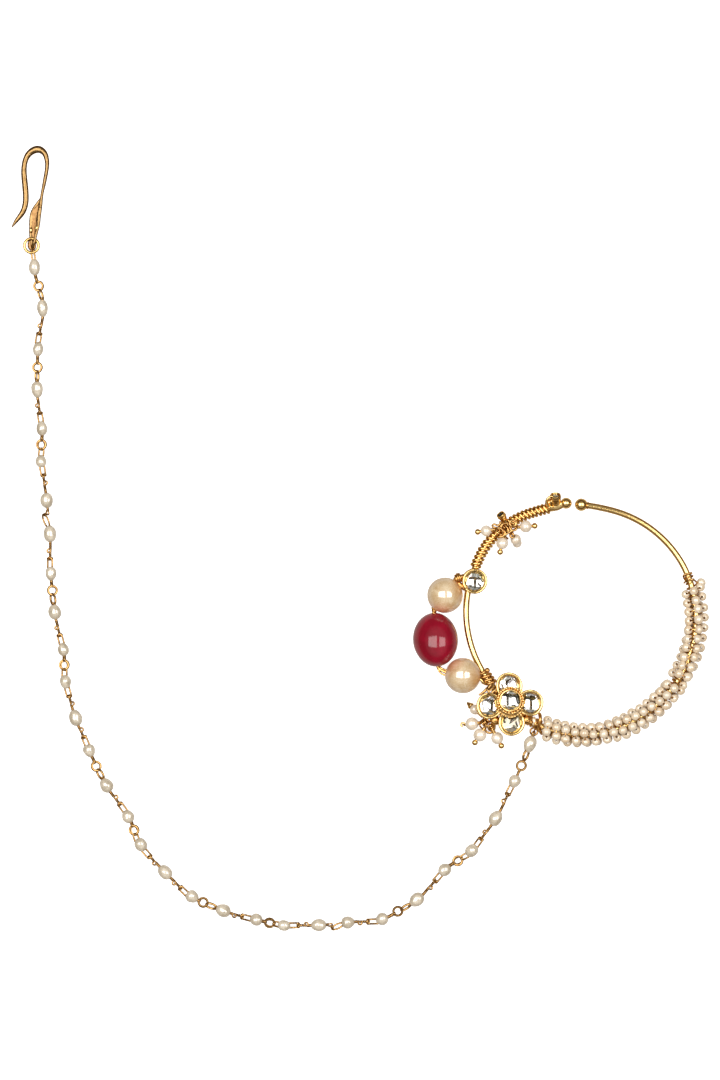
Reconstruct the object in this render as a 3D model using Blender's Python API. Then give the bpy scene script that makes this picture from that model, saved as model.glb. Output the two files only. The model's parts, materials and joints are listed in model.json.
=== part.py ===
"""Nose ring with a beaded support chain and a hair hook, laid flat on a surface.

Lengths in the tables are millimetres. +Z is up, the surface is z = 0, and the
origin is under the middle of the whole piece. The hoop lies level, its upper
side toward +Y, the chain runs from its lower left round to the hook.
"""
import math

import bmesh
import bpy
import numpy as np
from mathutils import Vector

MM = 0.001

# ------------------------------------------------------------ driving sizes
MIDDLE_X, MIDDLE_Y = 0.17, -0.07               # middle of the whole piece in the tables
HOOP_X, HOOP_Y, HOOP_Z = 42.18, -15.58, 2.55   # centre of the hoop
WIRE_R = 0.60                                  # hoop wire radius
SLEEVE_R, SLEEVE_BORE = 2.55, 0.92             # pearl sleeve, outside and inside
SLEEVE_FROM, SLEEVE_TO = -110.5, 18.5          # degrees round the hoop
COIL_CREST, COIL_GROOVE, COIL_BORE = 1.12, 0.84, 0.70
COIL_PITCH = 0.80
COIL_FROM, COIL_TO = -206.6, -254.0
SEAT_Z = 3.30                                  # underside of what sits on the hoop
PIN_R, PIN_EYE, PIN_BALL = 0.14, 0.40, 0.57
CHAIN_R = 1.20

# angle round the hoop in degrees, radius of the wire's centreline
HOOP_ROWS = [
    (90.1, 22.10), (82, 21.86), (70, 21.84), (55, 21.94), (40, 22.00), (25, 22.00),
    (12, 21.88), (0, 21.80), (-12, 21.64), (-28, 21.54), (-45, 21.44), (-60, 21.50),
    (-75, 21.64), (-90, 21.70), (-105, 21.54), (-118, 21.28), (-132, 21.08),
    (-146, 21.00), (-160, 21.28), (-175, 21.70), (-190, 22.16), (-200, 22.42),
    (-208, 22.66), (-216, 23.00), (-224, 23.12), (-232, 23.08), (-240, 22.88),
    (-248, 22.50), (-256, 22.32), (-262.6, 22.57),
]
LEFT_BALL_R, RIGHT_BALL_R = 1.08, 1.22

# plan position of each pearl on the chain, from the hook to the hoop
CHAIN_ROWS = [
    (-61.83, 51.74), (-60.31, 43.89), (-61.14, 36.14), (-61.31, 28.42),
    (-60.44, 21.05), (-60.59, 14.82), (-59.49, 7.32), (-58.90, 0.99),
    (-58.71, -6.61), (-57.99, -13.87), (-56.34, -21.00), (-55.95, -27.17),
    (-54.02, -34.01), (-51.40, -40.28), (-48.16, -46.84), (-44.04, -52.78),
    (-41.59, -58.14), (-36.99, -63.38), (-31.82, -68.02), (-25.95, -70.68),
    (-19.66, -72.39), (-14.35, -73.53), (-7.77, -73.44), (-2.19, -72.92),
    (4.28, -72.30), (10.85, -68.63), (16.23, -62.93), (21.34, -59.28),
    (25.92, -53.11), (29.49, -46.09), (32.40, -39.05),
]
CHAIN_START, CHAIN_END = (-62.05, 53.50), (32.80, -38.05)

# hair hook: x, y, z of the wire, half its width and half its height
HOOK_ROWS = [
    (-66.12, 59.38, 0.45, 0.10, 0.12), (-65.32, 60.55, 0.50, 0.30, 0.28),
    (-64.09, 62.23, 0.52, 0.42, 0.36), (-63.62, 63.60, 0.52, 0.45, 0.40),
    (-63.52, 65.63, 0.52, 0.46, 0.42), (-63.70, 67.81, 0.52, 0.46, 0.42),
    (-63.86, 69.71, 0.52, 0.44, 0.42), (-63.74, 71.44, 0.52, 0.42, 0.42),
    (-63.21, 72.90, 0.52, 0.46, 0.42), (-62.21, 73.88, 0.52, 0.54, 0.42),
    (-61.10, 74.16, 0.52, 0.56, 0.42), (-60.10, 73.62, 0.52, 0.46, 0.44),
    (-59.58, 72.50, 0.52, 0.38, 0.45), (-59.45, 71.20, 0.52, 0.33, 0.45),
    (-59.66, 69.50, 0.52, 0.30, 0.45), (-60.02, 67.60, 0.52, 0.28, 0.45),
    (-60.42, 65.60, 0.54, 0.28, 0.44), (-60.62, 64.20, 0.70, 0.34, 0.36),
    (-60.80, 62.80, 0.98, 0.38, 0.28), (-61.00, 61.00, 1.22, 0.36, 0.26),
    (-61.20, 59.20, 1.48, 0.31, 0.25), (-61.55, 57.80, 1.66, 0.27, 0.25),
    (-61.88, 56.80, 1.66, 0.26, 0.25), (-62.14, 56.15, 1.42, 0.26, 0.25),
    (-62.24, 55.86, 1.00, 0.26, 0.25), (-62.30, 56.10, 0.66, 0.27, 0.25),
    (-62.42, 56.70, 0.46, 0.30, 0.23), (-62.53, 57.60, 0.40, 0.34, 0.22),
    (-62.48, 59.10, 0.36, 0.42, 0.21), (-62.36, 60.30, 0.34, 0.54, 0.20),
    (-62.12, 61.40, 0.32, 0.68, 0.20), (-61.88, 62.40, 0.30, 0.62, 0.20),
    (-61.52, 63.20, 0.30, 0.30, 0.18),
]
HOOK_RING = (-62.41, 55.82, 1.00, 1.35, 0.28)     # x, y, z, ring radius, wire radius

# large beads: x, y, z of the middle, half length along the bore, radius, bore direction
BIG_BEADS = [
    ("pearl_upper", (16.23, -10.68, 4.10), 3.38, 3.38, (-0.632, -0.775, 0.0)),
    ("ruby_bead", (14.42, -19.11, 4.28), 5.12, 4.26, (0.080, -0.997, 0.0)),
    ("pearl_lower", (19.59, -25.94, 4.45), 3.38, 3.38, (0.978, -0.200, -0.06)),
]
BEAD_BORE, BEAD_WIRE = 0.46, 0.26

# flower: x, y of each round cup
FLOWER_X, FLOWER_Y = 28.63, -30.95
PETALS = [("stone_top", 28.41, -27.84), ("stone_right", 32.40, -31.10),
          ("stone_bottom", 28.86, -34.85), ("stone_left", 24.70, -31.65)]
PETAL_R, PETAL_STONE, PETAL_H = 2.53, 1.92, 1.55
CENTRE_R, CENTRE_STONE = 2.66, 1.84
CENTRE_Z, CENTRE_TOP = SEAT_Z + 1.42, SEAT_Z + 3.05

ROUND_X, ROUND_Y, ROUND_R, ROUND_STONE, ROUND_H = 21.85, -7.98, 2.42, 1.88, 1.95

# small drops: name, ring they hang on, x, y, z of the ball tip, pearl radius
DROPS = [
    ("u1", "upper", (22.46, 1.35, 3.60), 1.03),
    ("u2", "upper", (33.27, 2.49, 3.70), 1.12),
    ("u3", "upper", (26.70, -2.47, 3.95), 1.12),
    ("l1", "lower", (19.67, -35.34, 1.10), 1.23),
    ("l2", "lower", (21.95, -38.72, 1.10), 1.23),
    ("l3", "lower", (26.98, -39.33, 1.10), 1.16),
    ("l4", "lower", (20.84, -31.45, 1.20), 0.95),
]
# rings the drops hang on: x, y, z, ring radius, wire radius
DROP_RINGS = {"upper": (27.76, 2.10, 4.32, 1.00, 0.15),
              "lower": (24.51, -34.77, 2.45, 0.80, 0.15)}


# ------------------------------------------------------------ helpers
def clear_scene():
    for obj in list(bpy.data.objects):
        bpy.data.objects.remove(obj, do_unlink=True)


def material(name, colour, roughness, metallic):
    mat = bpy.data.materials.new("mat_" + name)
    mat.use_nodes = True
    shader = mat.node_tree.nodes["Principled BSDF"]
    shader.inputs["Base Color"].default_value = (*colour, 1.0)
    shader.inputs["Roughness"].default_value = roughness
    shader.inputs["Metallic"].default_value = metallic
    return mat


GOLD = ((0.83, 0.55, 0.20), 0.20, 1.0)
CHAMPAGNE = ((0.86, 0.66, 0.44), 0.25, 0.0)
CREAM = ((0.86, 0.79, 0.68), 0.28, 0.0)
RUBY = ((0.42, 0.01, 0.05), 0.10, 0.0)
CLEAR = ((0.86, 0.87, 0.84), 0.05, 0.0)


def add_object(name, mesh, look):
    obj = bpy.data.objects.new(name, mesh)
    bpy.context.collection.objects.link(obj)
    mesh.materials.clear()
    mesh.materials.append(material(name, *look))
    for face in mesh.polygons:
        face.use_smooth = True
    mesh.set_sharp_from_angle(angle=math.radians(35))
    return obj


def to_mesh(name, bm):
    bmesh.ops.recalc_face_normals(bm, faces=bm.faces)
    middle = Vector((MIDDLE_X, MIDDLE_Y, 0.0))
    for vert in bm.verts:
        vert.co = (vert.co - middle) * MM
    mesh = bpy.data.meshes.new(name)
    bm.to_mesh(mesh)
    bm.free()
    return mesh


def cubic(xs, rows):
    """Natural cubic through rows at xs; returns a function of x."""
    xs, rows = np.array(xs, float), np.array(rows, float)
    n, h = len(xs), np.diff(xs)
    left, right = np.eye(n), np.zeros_like(rows)
    for i in range(1, n - 1):
        left[i, i - 1:i + 2] = h[i - 1], 2 * (h[i - 1] + h[i]), h[i]
        right[i] = 6 * ((rows[i + 1] - rows[i]) / h[i] - (rows[i] - rows[i - 1]) / h[i - 1])
    second = np.linalg.solve(left, right)

    def at(x):
        i = min(max(int(np.searchsorted(xs, x)) - 1, 0), n - 2)
        a, b = (xs[i + 1] - x) / h[i], (x - xs[i]) / h[i]
        return (a * rows[i] + b * rows[i + 1]
                + ((a ** 3 - a) * second[i] + (b ** 3 - b) * second[i + 1]) * h[i] ** 2 / 6)
    return at


def smooth_rows(rows, step):
    """Rows about one step apart along a smooth curve through the given rows."""
    rows = np.array(rows, float)
    run = np.concatenate([[0], np.cumsum(np.linalg.norm(np.diff(rows[:, :3], axis=0), axis=1))])
    at = cubic(run, rows)
    count = max(2, int(math.ceil(run[-1] / step)) + 1)
    return [at(x) for x in np.linspace(0, run[-1], count)]


_hoop_order = sorted(HOOP_ROWS)
_hoop_radius = cubic([r[0] for r in _hoop_order], [[r[1]] for r in _hoop_order])


def hoop_at(deg, out=0.0, up=0.0):
    """Point on the hoop wire's centreline, moved outward in the plane and up."""
    radius = float(_hoop_radius(deg)[0]) + out
    turn = math.radians(deg)
    return Vector((HOOP_X + radius * math.cos(turn), HOOP_Y + radius * math.sin(turn), HOOP_Z + up))


def hoop_frame(deg):
    """Direction along the hoop with the angle rising, and outward, both level."""
    along = (hoop_at(deg + 0.2) - hoop_at(deg - 0.2)).normalized()
    return along, Vector((along.y, -along.x, 0.0))


def frames(points, closed=False, first=(0, 0, 1)):
    """Tangent, side and top directions along points, without twist."""
    pts = [Vector(p) for p in points]
    n = len(pts)
    tangents = []
    for i in range(n):
        a = pts[(i - 1) % n] if closed or i else pts[i]
        b = pts[(i + 1) % n] if closed or i < n - 1 else pts[i]
        tangents.append((b - a).normalized())
    top = Vector(first)
    out = []
    for i, tangent in enumerate(tangents):
        if i:
            top = tangents[i - 1].rotation_difference(tangent) @ top
        top = (top - tangent * top.dot(tangent)).normalized()
        out.append((tangent, tangent.cross(top).normalized(), top.copy()))
    return out


def level_frames(points):
    """Frames whose side direction stays level, also where the line turns back under itself."""
    out = []
    for tangent, side, top in frames(points):
        if out:
            side = out[-1][1]
        level = tangent.cross(Vector((0, 0, 1)))
        if level.length > 0.5:
            side = level if level.dot(side) > 0 else -level
        side = (side - tangent * side.dot(tangent)).normalized()
        out.append((tangent, side, side.cross(tangent)))
    return out


def sweep_bm(rows, sides=8, closed=False, first=(0, 0, 1), level=False):
    """Solid along rows of x, y, z, half width, half height."""
    bm = bmesh.new()
    axes = level_frames([r[:3] for r in rows]) if level else frames([r[:3] for r in rows], closed, first)
    loops = []
    for row, (_, side, top) in zip(rows, axes):
        half_w = row[3]
        half_h = row[4] if len(row) > 4 else row[3]
        ring = []
        for k in range(sides):
            turn = 2 * math.pi * k / sides
            ring.append(bm.verts.new(Vector(row[:3]) + side * (half_w * math.sin(turn))
                                     - top * (half_h * math.cos(turn))))
        loops.append(ring)
    pairs = list(zip(loops, loops[1:])) + ([(loops[-1], loops[0])] if closed else [])
    for ring, after in pairs:
        for k in range(sides):
            m = (k + 1) % sides
            bm.faces.new((ring[k], ring[m], after[m], after[k]))
    if not closed:
        bm.faces.new(loops[0][::-1])
        bm.faces.new(loops[-1])
    return bm


def sleeve_bm(outer, inner, sides):
    """Hollow tube between two sets of rows that share their first and last points."""
    bm = bmesh.new()
    ends = []
    for rows in (outer, inner):
        axes = frames([r[:3] for r in rows])
        loops = []
        for row, (_, side, top) in zip(rows, axes):
            loops.append([bm.verts.new(Vector(row[:3]) + row[3] * (
                side * math.sin(2 * math.pi * k / sides) - top * math.cos(2 * math.pi * k / sides)))
                for k in range(sides)])
        for ring, after in zip(loops, loops[1:]):
            for k in range(sides):
                m = (k + 1) % sides
                bm.faces.new((ring[k], ring[m], after[m], after[k]))
        ends.append((loops[0], loops[-1]))
    for ring, bore in zip(*ends):
        for k in range(sides):
            m = (k + 1) % sides
            bm.faces.new((ring[k], ring[m], bore[m], bore[k]))
    return bm


def lathe_bm(profile, centre, axis, sides=16, closed=False):
    """Profile of (radius, height) turned about an axis; an open one ends on the axis."""
    turn = Vector((0, 0, 1)).rotation_difference(Vector(axis).normalized()).to_matrix()
    bm = bmesh.new()
    rings = []
    for radius, height in profile:
        if radius < 1e-6:
            rings.append([bm.verts.new(turn @ Vector((0, 0, height)) + Vector(centre))])
        else:
            rings.append([bm.verts.new(turn @ Vector((
                radius * math.cos(2 * math.pi * k / sides),
                radius * math.sin(2 * math.pi * k / sides), height)) + Vector(centre))
                for k in range(sides)])
    pairs = list(zip(rings, rings[1:])) + ([(rings[-1], rings[0])] if closed else [])
    for low, high in pairs:
        for k in range(sides):
            m = (k + 1) % sides
            quad = [low[k % len(low)], low[m % len(low)], high[m % len(high)], high[k % len(high)]]
            corners = []
            for vert in quad:
                if vert not in corners:
                    corners.append(vert)
            bm.faces.new(corners)
    return bm


def torus_bm(centre, axis, radius, wire, around=16, sides=6):
    axis = Vector(axis).normalized()
    start = axis.orthogonal().normalized()
    other = axis.cross(start)
    rows = [(*(Vector(centre) + (start * math.cos(a) + other * math.sin(a)) * radius), wire)
            for a in (2 * math.pi * k / around for k in range(around))]
    return sweep_bm(rows, sides, closed=True, first=axis)


def belt_bm(one, one_r, two, two_r, wire, side, around=8, sides=5):
    """Closed wire loop laid like a belt round two round things; side is its plane's normal."""
    one, two, side = Vector(one), Vector(two), Vector(side).normalized()
    reach = two - one
    ahead = reach.normalized()
    across = side.cross(ahead).normalized()
    wrap = math.acos((one_r - two_r) / reach.length)
    rows = []
    for centre, radius, start, stop in ((one, one_r, wrap, 2 * math.pi - wrap), (two, two_r, -wrap, wrap)):
        for k in range(around):
            a = start + (stop - start) * k / (around - 1)
            rows.append((*(centre + (ahead * math.cos(a) + across * math.sin(a)) * radius), wire))
    return sweep_bm(rows, sides, closed=True, first=side)


def wound_rows(start, stop, turns, radius, wire, per_turn=12, phase=90.0, hand=1):
    """Wire wound round the hoop between two angles."""
    rows = []
    count = int(round(turns * per_turn))
    for k in range(count + 1):
        deg = start + (stop - start) * k / count
        turn = math.radians(phase + hand * 360.0 * turns * k / count)
        _, out = hoop_frame(deg)
        point = hoop_at(deg) + out * (radius * math.cos(turn)) + Vector((0, 0, radius * math.sin(turn)))
        rows.append((*point, wire))
    return rows


def united(name, parts, look):
    """One soldered solid from several closed ones."""
    base = bpy.data.objects.new(name + "_base", to_mesh(name, parts[0]))
    bpy.context.collection.objects.link(base)
    others = []
    for index, part in enumerate(parts[1:]):
        other = bpy.data.objects.new("%s_join_%d" % (name, index), to_mesh(name, part))
        bpy.context.collection.objects.link(other)
        joint = base.modifiers.new("join_%d" % index, "BOOLEAN")
        joint.operation, joint.solver, joint.object = "UNION", "EXACT", other
        others.append(other)
    bpy.context.view_layer.update()
    mesh = bpy.data.meshes.new_from_object(base.evaluated_get(bpy.context.evaluated_depsgraph_get()))
    mesh.name = name
    for obj in others + [base]:
        bpy.data.objects.remove(obj, do_unlink=True)
    return add_object(name, mesh, look)


def cup_profile(outer, bore, height, floor, foot=0.0):
    """Closed cup from the axis out, up over the rim and back down to its floor."""
    lip = (outer - bore) * 0.35
    return [(0.0, foot), (outer * 0.94, foot), (outer, foot + 0.18), (outer, height - lip),
            (outer - lip * 0.6, height), (bore + lip * 0.5, height), (bore, height - lip * 0.8),
            (bore, floor), (0.0, floor)]


def stone_profile(radius, height):
    """Flat topped stone with a sloping crown."""
    return [(0.0, 0.0), (radius * 0.86, 0.0), (radius, height * 0.42), (radius * 0.80, height * 0.82),
            (radius * 0.50, height), (0.0, height)]


def bead_profile(half_length, radius, bore, steps):
    """Bored bead: closed outline from the bore's one end over the outside and back."""
    limit = math.acos(bore / radius)
    rows = []
    for k in range(steps + 1):
        turn = -limit + 2 * limit * k / steps
        rows.append((radius * math.cos(turn), half_length * math.sin(turn)))
    return rows


# ------------------------------------------------------------ the hoop
def arc_rows(start, stop, step, width):
    length = abs(math.radians(stop - start)) * 22.0
    count = max(2, int(math.ceil(length / step)) + 1)
    rows = []
    for k in range(count):
        share = k / (count - 1)
        rows.append((*hoop_at(start + (stop - start) * share), width(share * length, length)))
    return rows


def make_hoop():
    right, left = hoop_at(90.1), hoop_at(-262.6)
    rows = []
    for radius, end, sign in ((RIGHT_BALL_R, 90.1, 1), (LEFT_BALL_R, -262.6, -1)):
        ball = []
        for deg in (10, 36, 64, 92, 120, 145):
            turn = math.radians(deg)
            shift = radius * math.cos(turn)
            along, _ = hoop_frame(end - sign * 0.3)
            centre = right if sign > 0 else left
            ball.append((*(centre + along * (sign * shift)), radius * math.sin(turn), radius * math.sin(turn)))
        rows.append(ball)
    body = []
    start, stop, count = 85.9, -258.6, 62
    for k in range(count + 1):
        deg = start + (stop - start) * k / count
        flat = max(0.0, min(1.0, (-deg - 253.0) / 5.0))
        body.append((*hoop_at(deg), WIRE_R + 0.22 * flat, WIRE_R - 0.06 * flat))
    wire = sweep_bm(rows[0] + body + rows[1][::-1], 8)

    aim = Vector((-0.045, 0.905, 0.423)).normalized()
    seat = hoop_at(-257.4) + aim * 0.35
    cup = lathe_bm(cup_profile(1.05, 0.80, 2.22, 1.60), seat, aim, 12)
    united("hoop_wire", [wire, cup], GOLD)
    stone = lathe_bm(stone_profile(0.74, 0.42), seat + aim * 1.66, aim, 12)
    add_object("end_stone", to_mesh("end_stone", stone), CLEAR)


def make_coil():
    length = abs(math.radians(COIL_TO - COIL_FROM)) * 22.9
    ribs = int(round(length / COIL_PITCH))
    outer = []
    for k in range(2 * ribs + 1):
        deg = COIL_FROM + (COIL_TO - COIL_FROM) * k / (2 * ribs)
        outer.append((*hoop_at(deg), COIL_CREST if k % 2 else COIL_GROOVE))
    inner = [(*hoop_at(COIL_FROM + (COIL_TO - COIL_FROM) * k / 16), COIL_BORE) for k in range(17)]
    add_object("coil_wrap", to_mesh("coil_wrap", sleeve_bm(outer, inner, 8)), GOLD)


def make_sleeve():
    outer = arc_rows(SLEEVE_FROM, SLEEVE_TO, 2.5, lambda run, length: (
        SLEEVE_R - 0.35 * max(0.0, 1.0 - min(run, length - run) / 1.2)))
    inner = arc_rows(SLEEVE_FROM, SLEEVE_TO, 3.1, lambda run, length: SLEEVE_BORE)
    add_object("pearl_sleeve", to_mesh("pearl_sleeve", sleeve_bm(outer, inner, 12)), CREAM)


def make_bindings():
    for name, start, stop, turns, wire in (("sleeve_start_wrap", -118.0, -114.7, 2.2, 0.22),
                                           ("sleeve_end_wrap", 20.0, 23.6, 2.6, 0.20)):
        rows = wound_rows(start, stop, turns, WIRE_R + 0.09 + wire, wire, 10)
        add_object(name, to_mesh(name, sweep_bm(rows, 5)), GOLD)


# ------------------------------------------------------------ settings and stones
def make_round_bezel():
    cup = lathe_bm(cup_profile(ROUND_R, ROUND_STONE + 0.06, ROUND_H, 0.70),
                   (ROUND_X, ROUND_Y, SEAT_Z), (0, 0, 1), 16)
    along, _ = hoop_frame(-200.5)
    lug = torus_bm(hoop_at(-200.5), along, 0.98, 0.22, 12, 5)
    barrel_from, barrel_to = Vector((19.05, -7.15, 4.15)), Vector((18.55, -7.84, 4.15))
    barrel = sweep_bm([(*barrel_from, 0.44), (*barrel_to, 0.44)], 10)
    bridge = sweep_bm([(18.95, -7.35, 4.15, 0.30), (20.10, -7.60, 4.15, 0.30)], 8)
    united("round_bezel", [cup, lug, bridge, barrel], GOLD)
    stone = lathe_bm(stone_profile(ROUND_STONE, 1.05), (ROUND_X, ROUND_Y, SEAT_Z + 0.76), (0, 0, 1), 16)
    add_object("round_stone", to_mesh("round_stone", stone), CLEAR)


def make_side_bezel():
    deg = -232.6
    along, out = hoop_frame(deg)
    band = torus_bm(hoop_at(deg), along, COIL_CREST + 0.32, 0.20, 12, 5)
    seat = hoop_at(deg) + out * (COIL_CREST + 0.22)
    cup = lathe_bm(cup_profile(0.85, 0.62, 1.55, 1.05), seat, out, 12)
    united("side_bezel", [cup, band], GOLD)
    stone = lathe_bm(stone_profile(0.56, 0.38), seat + out * 1.10, out, 12)
    add_object("side_stone", to_mesh("side_stone", stone), CLEAR)


def make_flower():
    parts = []
    for _, x, y in PETALS:
        parts.append(lathe_bm(cup_profile(PETAL_R, PETAL_STONE + 0.06, PETAL_H, 0.36),
                              (x, y, SEAT_Z), (0, 0, 1), 16))
    hub = lathe_bm(cup_profile(CENTRE_R, CENTRE_STONE + 0.06, CENTRE_TOP - CENTRE_Z, 0.42),
                   (FLOWER_X, FLOWER_Y, CENTRE_Z), (0, 0, 1), 16)
    floor = lathe_bm([(0.0, 0.0), (2.9, 0.0), (2.9, 0.30), (0.0, 0.30)],
                     (FLOWER_X, FLOWER_Y, SEAT_Z + 0.03), (0, 0, 1), 14)
    parts = [floor] + parts + [hub]
    for x, y, radius, height in ((25.95, -34.25, 0.80, 0.95), (31.35, -34.30, 0.80, 0.95),
                                 (26.15, -29.25, 0.75, 0.80)):
        parts.append(lathe_bm([(0.0, 0.0), (radius, 0.0), (radius, height * 0.8),
                               (radius * 0.7, height), (0.0, height)], (x, y, SEAT_Z + 0.05), (0, 0, 1), 8))
    for deg in (-140.6, -119.6):
        along, _ = hoop_frame(deg)
        parts.append(torus_bm(hoop_at(deg), along, 0.98, 0.21, 12, 5))
    x, y, z, radius, _ = DROP_RINGS["lower"]
    way = (Vector((25.95, -34.25, 0)) - Vector((x, y, 0))).normalized()
    spot = Vector((x, y, z + 0.30)) + way * radius
    parts.append(torus_bm(spot, way.cross(Vector((0, 0, 1))), 0.75, 0.17, 12, 5))
    united("flower_setting", parts, GOLD)
    for name, x, y in PETALS:
        stone = lathe_bm(stone_profile(PETAL_STONE, 0.86), (x, y, SEAT_Z + 0.42), (0, 0, 1), 16)
        add_object(name, to_mesh(name, stone), CLEAR)
    stone = lathe_bm(stone_profile(CENTRE_STONE, 1.05), (FLOWER_X, FLOWER_Y, CENTRE_Z + 0.48), (0, 0, 1), 16)
    add_object("stone_centre", to_mesh("stone_centre", stone), CLEAR)


# ------------------------------------------------------------ the large beads and their wire
def make_big_beads():
    for name, centre, half, radius, aim in BIG_BEADS:
        bead = lathe_bm(bead_profile(half, radius, BEAD_BORE, 10), centre, aim, 16, closed=True)
        add_object(name, to_mesh(name, bead), RUBY if name == "ruby_bead" else CHAMPAGNE)
    rows = []
    for index, (name, centre, half, _, aim) in enumerate(BIG_BEADS):
        centre, aim = Vector(centre), Vector(aim).normalized()
        for share in (-1.0, -0.5, 0.0, 0.5, 1.0):
            rows.append((*(centre + aim * (half * share)), BEAD_WIRE))
    rows.insert(0, (18.50, -7.92, 4.15, BEAD_WIRE))
    rows.append((23.60, -27.32, 4.02, 0.27))
    wound = wound_rows(-145.9, -151.9, 3.0, WIRE_R + 0.10 + 0.29, 0.29, 10, 90.0, 1)
    line = smooth_rows(rows + [wound[0], wound[1], wound[2]], 1.2)
    line = line[:-1] + wound[2:]
    last = Vector(wound[-1][:3])
    line.append((*(last + Vector((0.42, 0.30, 0.02))), 0.29))
    add_object("bead_wire", to_mesh("bead_wire", sweep_bm(line, 6)), GOLD)


# ------------------------------------------------------------ small drops
def make_ring(name, x, y, z, radius, wire, around=14):
    add_object(name, to_mesh(name, torus_bm((x, y, z), (0, 0, 1), radius, wire, around, 5)), GOLD)


def make_drop(name, ring, tip, radius):
    x, y, z, ring_r, _ = DROP_RINGS[ring]
    hub, tip = Vector((x, y, z)), Vector(tip)
    out = (Vector((tip.x, tip.y, 0)) - Vector((x, y, 0))).normalized()
    eye = hub + out * ring_r
    aim = (tip - eye).normalized()
    pearl = tip - aim * (radius + PIN_BALL + 0.04)
    bead = lathe_bm(bead_profile(radius, radius, PIN_R + 0.12, 6), pearl, aim, 10, closed=True)
    add_object("drop_pearl_" + name, to_mesh("drop_pearl_" + name, bead), CREAM)
    rows = []
    for deg in (12, 42, 74, 106, 138, 163):
        turn = math.radians(deg)
        rows.append((*(tip + aim * (PIN_BALL * math.cos(turn))), max(PIN_R, PIN_BALL * math.sin(turn))))
    rows.append((*(pearl + aim * (radius * 0.5)), PIN_R))
    rows.append((*(pearl - aim * (radius * 0.9)), PIN_R))
    start = eye + aim * (PIN_EYE + 0.16)
    rows.append((*start, PIN_R))
    loop = []
    for deg in range(-22, -261, -34):
        turn = math.radians(deg)
        loop.append((*(eye + out * (PIN_EYE * math.cos(turn)) + Vector((0, 0, PIN_EYE * math.sin(turn)))), PIN_R))
    add_object("drop_pin_" + name, to_mesh("drop_pin_" + name, sweep_bm(rows + loop, 5)), GOLD)


def make_double_drop():
    """Drop whose pin bends down and carries two pearls."""
    x, y, z, ring_r, _ = DROP_RINGS["upper"]
    out = Vector((0.86, -0.51, 0.0)).normalized()
    eye = Vector((x, y, z)) + out * ring_r
    high, low = Vector((29.70, -0.10, 2.90)), Vector((29.98, -0.90, 1.34))
    aim = (low - high).normalized()
    for name, centre, radius, way in (("u4", high, 0.93, (high - eye).normalized().lerp(aim, 0.5)),
                                      ("u5", low, 0.78, aim)):
        bead = lathe_bm(bead_profile(radius, radius, 0.36, 6), centre, way, 10, closed=True)
        add_object("drop_pearl_" + name, to_mesh("drop_pearl_" + name, bead), CREAM)
    loop = []
    for deg in range(-260, -21, 34):
        turn = math.radians(deg)
        loop.append((*(eye + out * (PIN_EYE * math.cos(turn)) + Vector((0, 0, PIN_EYE * math.sin(turn)))), PIN_R))
    way = (high - eye).normalized()
    path = smooth_rows([(*(eye + way * 0.62), PIN_R), (*(high - way * 0.5), PIN_R), (*high, PIN_R),
                        (*low, PIN_R), (*(low + aim * 0.86), PIN_R)], 0.45)
    add_object("drop_pin_u4", to_mesh("drop_pin_u4", sweep_bm(loop + path, 5)), GOLD)


def make_drops():
    for name, ring, tip, radius in DROPS:
        make_drop(name, ring, tip, radius)
    make_double_drop()
    for ring, (x, y, z, radius, wire) in DROP_RINGS.items():
        make_ring(ring + "_ring", x, y, z, radius, wire)
    deg = -230.4
    along, _ = hoop_frame(deg)
    centre = hoop_at(deg)
    hanger = belt_bm(centre, COIL_CREST + 0.21, centre + Vector((0, 0, 2.08)), 0.26, 0.14, along)
    add_object("upper_hanger", to_mesh("upper_hanger", hanger), GOLD)


# ------------------------------------------------------------ chain and hook
def make_chain():
    rows = [CHAIN_START] + CHAIN_ROWS + [CHAIN_END]
    points = smooth_rows([(x, y, CHAIN_R) for x, y in rows], 4.0)
    curve = bpy.data.curves.new("chain", "CURVE")
    curve.dimensions = "3D"
    curve.bevel_depth = CHAIN_R * MM
    curve.bevel_resolution = 2
    curve.use_fill_caps = True
    spline = curve.splines.new("POLY")
    spline.points.add(len(points) - 1)
    for point, place in zip(spline.points, points):
        point.co = ((place[0] - MIDDLE_X) * MM, (place[1] - MIDDLE_Y) * MM, place[2] * MM, 1.0)
    curve.materials.append(material("chain", *CREAM))
    bpy.context.collection.objects.link(bpy.data.objects.new("chain", curve))

    eye = Vector((33.19, -36.61, 0.80))
    make_ring("chain_eye", eye.x, eye.y, eye.z, 0.70, 0.19, 14)
    spot = hoop_at(-112.8)
    way = Vector((spot.x - eye.x, spot.y - eye.y, 0)).normalized()
    loop = belt_bm(spot, WIRE_R + 0.24, eye + way * 0.70, 0.42, 0.15, way.cross(Vector((0, 0, 1))))
    add_object("chain_loop", to_mesh("chain_loop", loop), GOLD)


def make_hook():
    add_object("hair_hook", to_mesh("hair_hook", sweep_bm(smooth_rows(HOOK_ROWS, 0.62), 8, level=True)), GOLD)
    make_ring("hook_ring", *HOOK_RING, around=18)


clear_scene()
make_hoop()
make_coil()
make_sleeve()
make_bindings()
make_round_bezel()
make_side_bezel()
make_flower()
make_big_beads()
make_drops()
make_chain()
make_hook()
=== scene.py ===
import json
import math

import bmesh
import bpy
import numpy as np
from mathutils import Matrix, Vector

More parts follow.
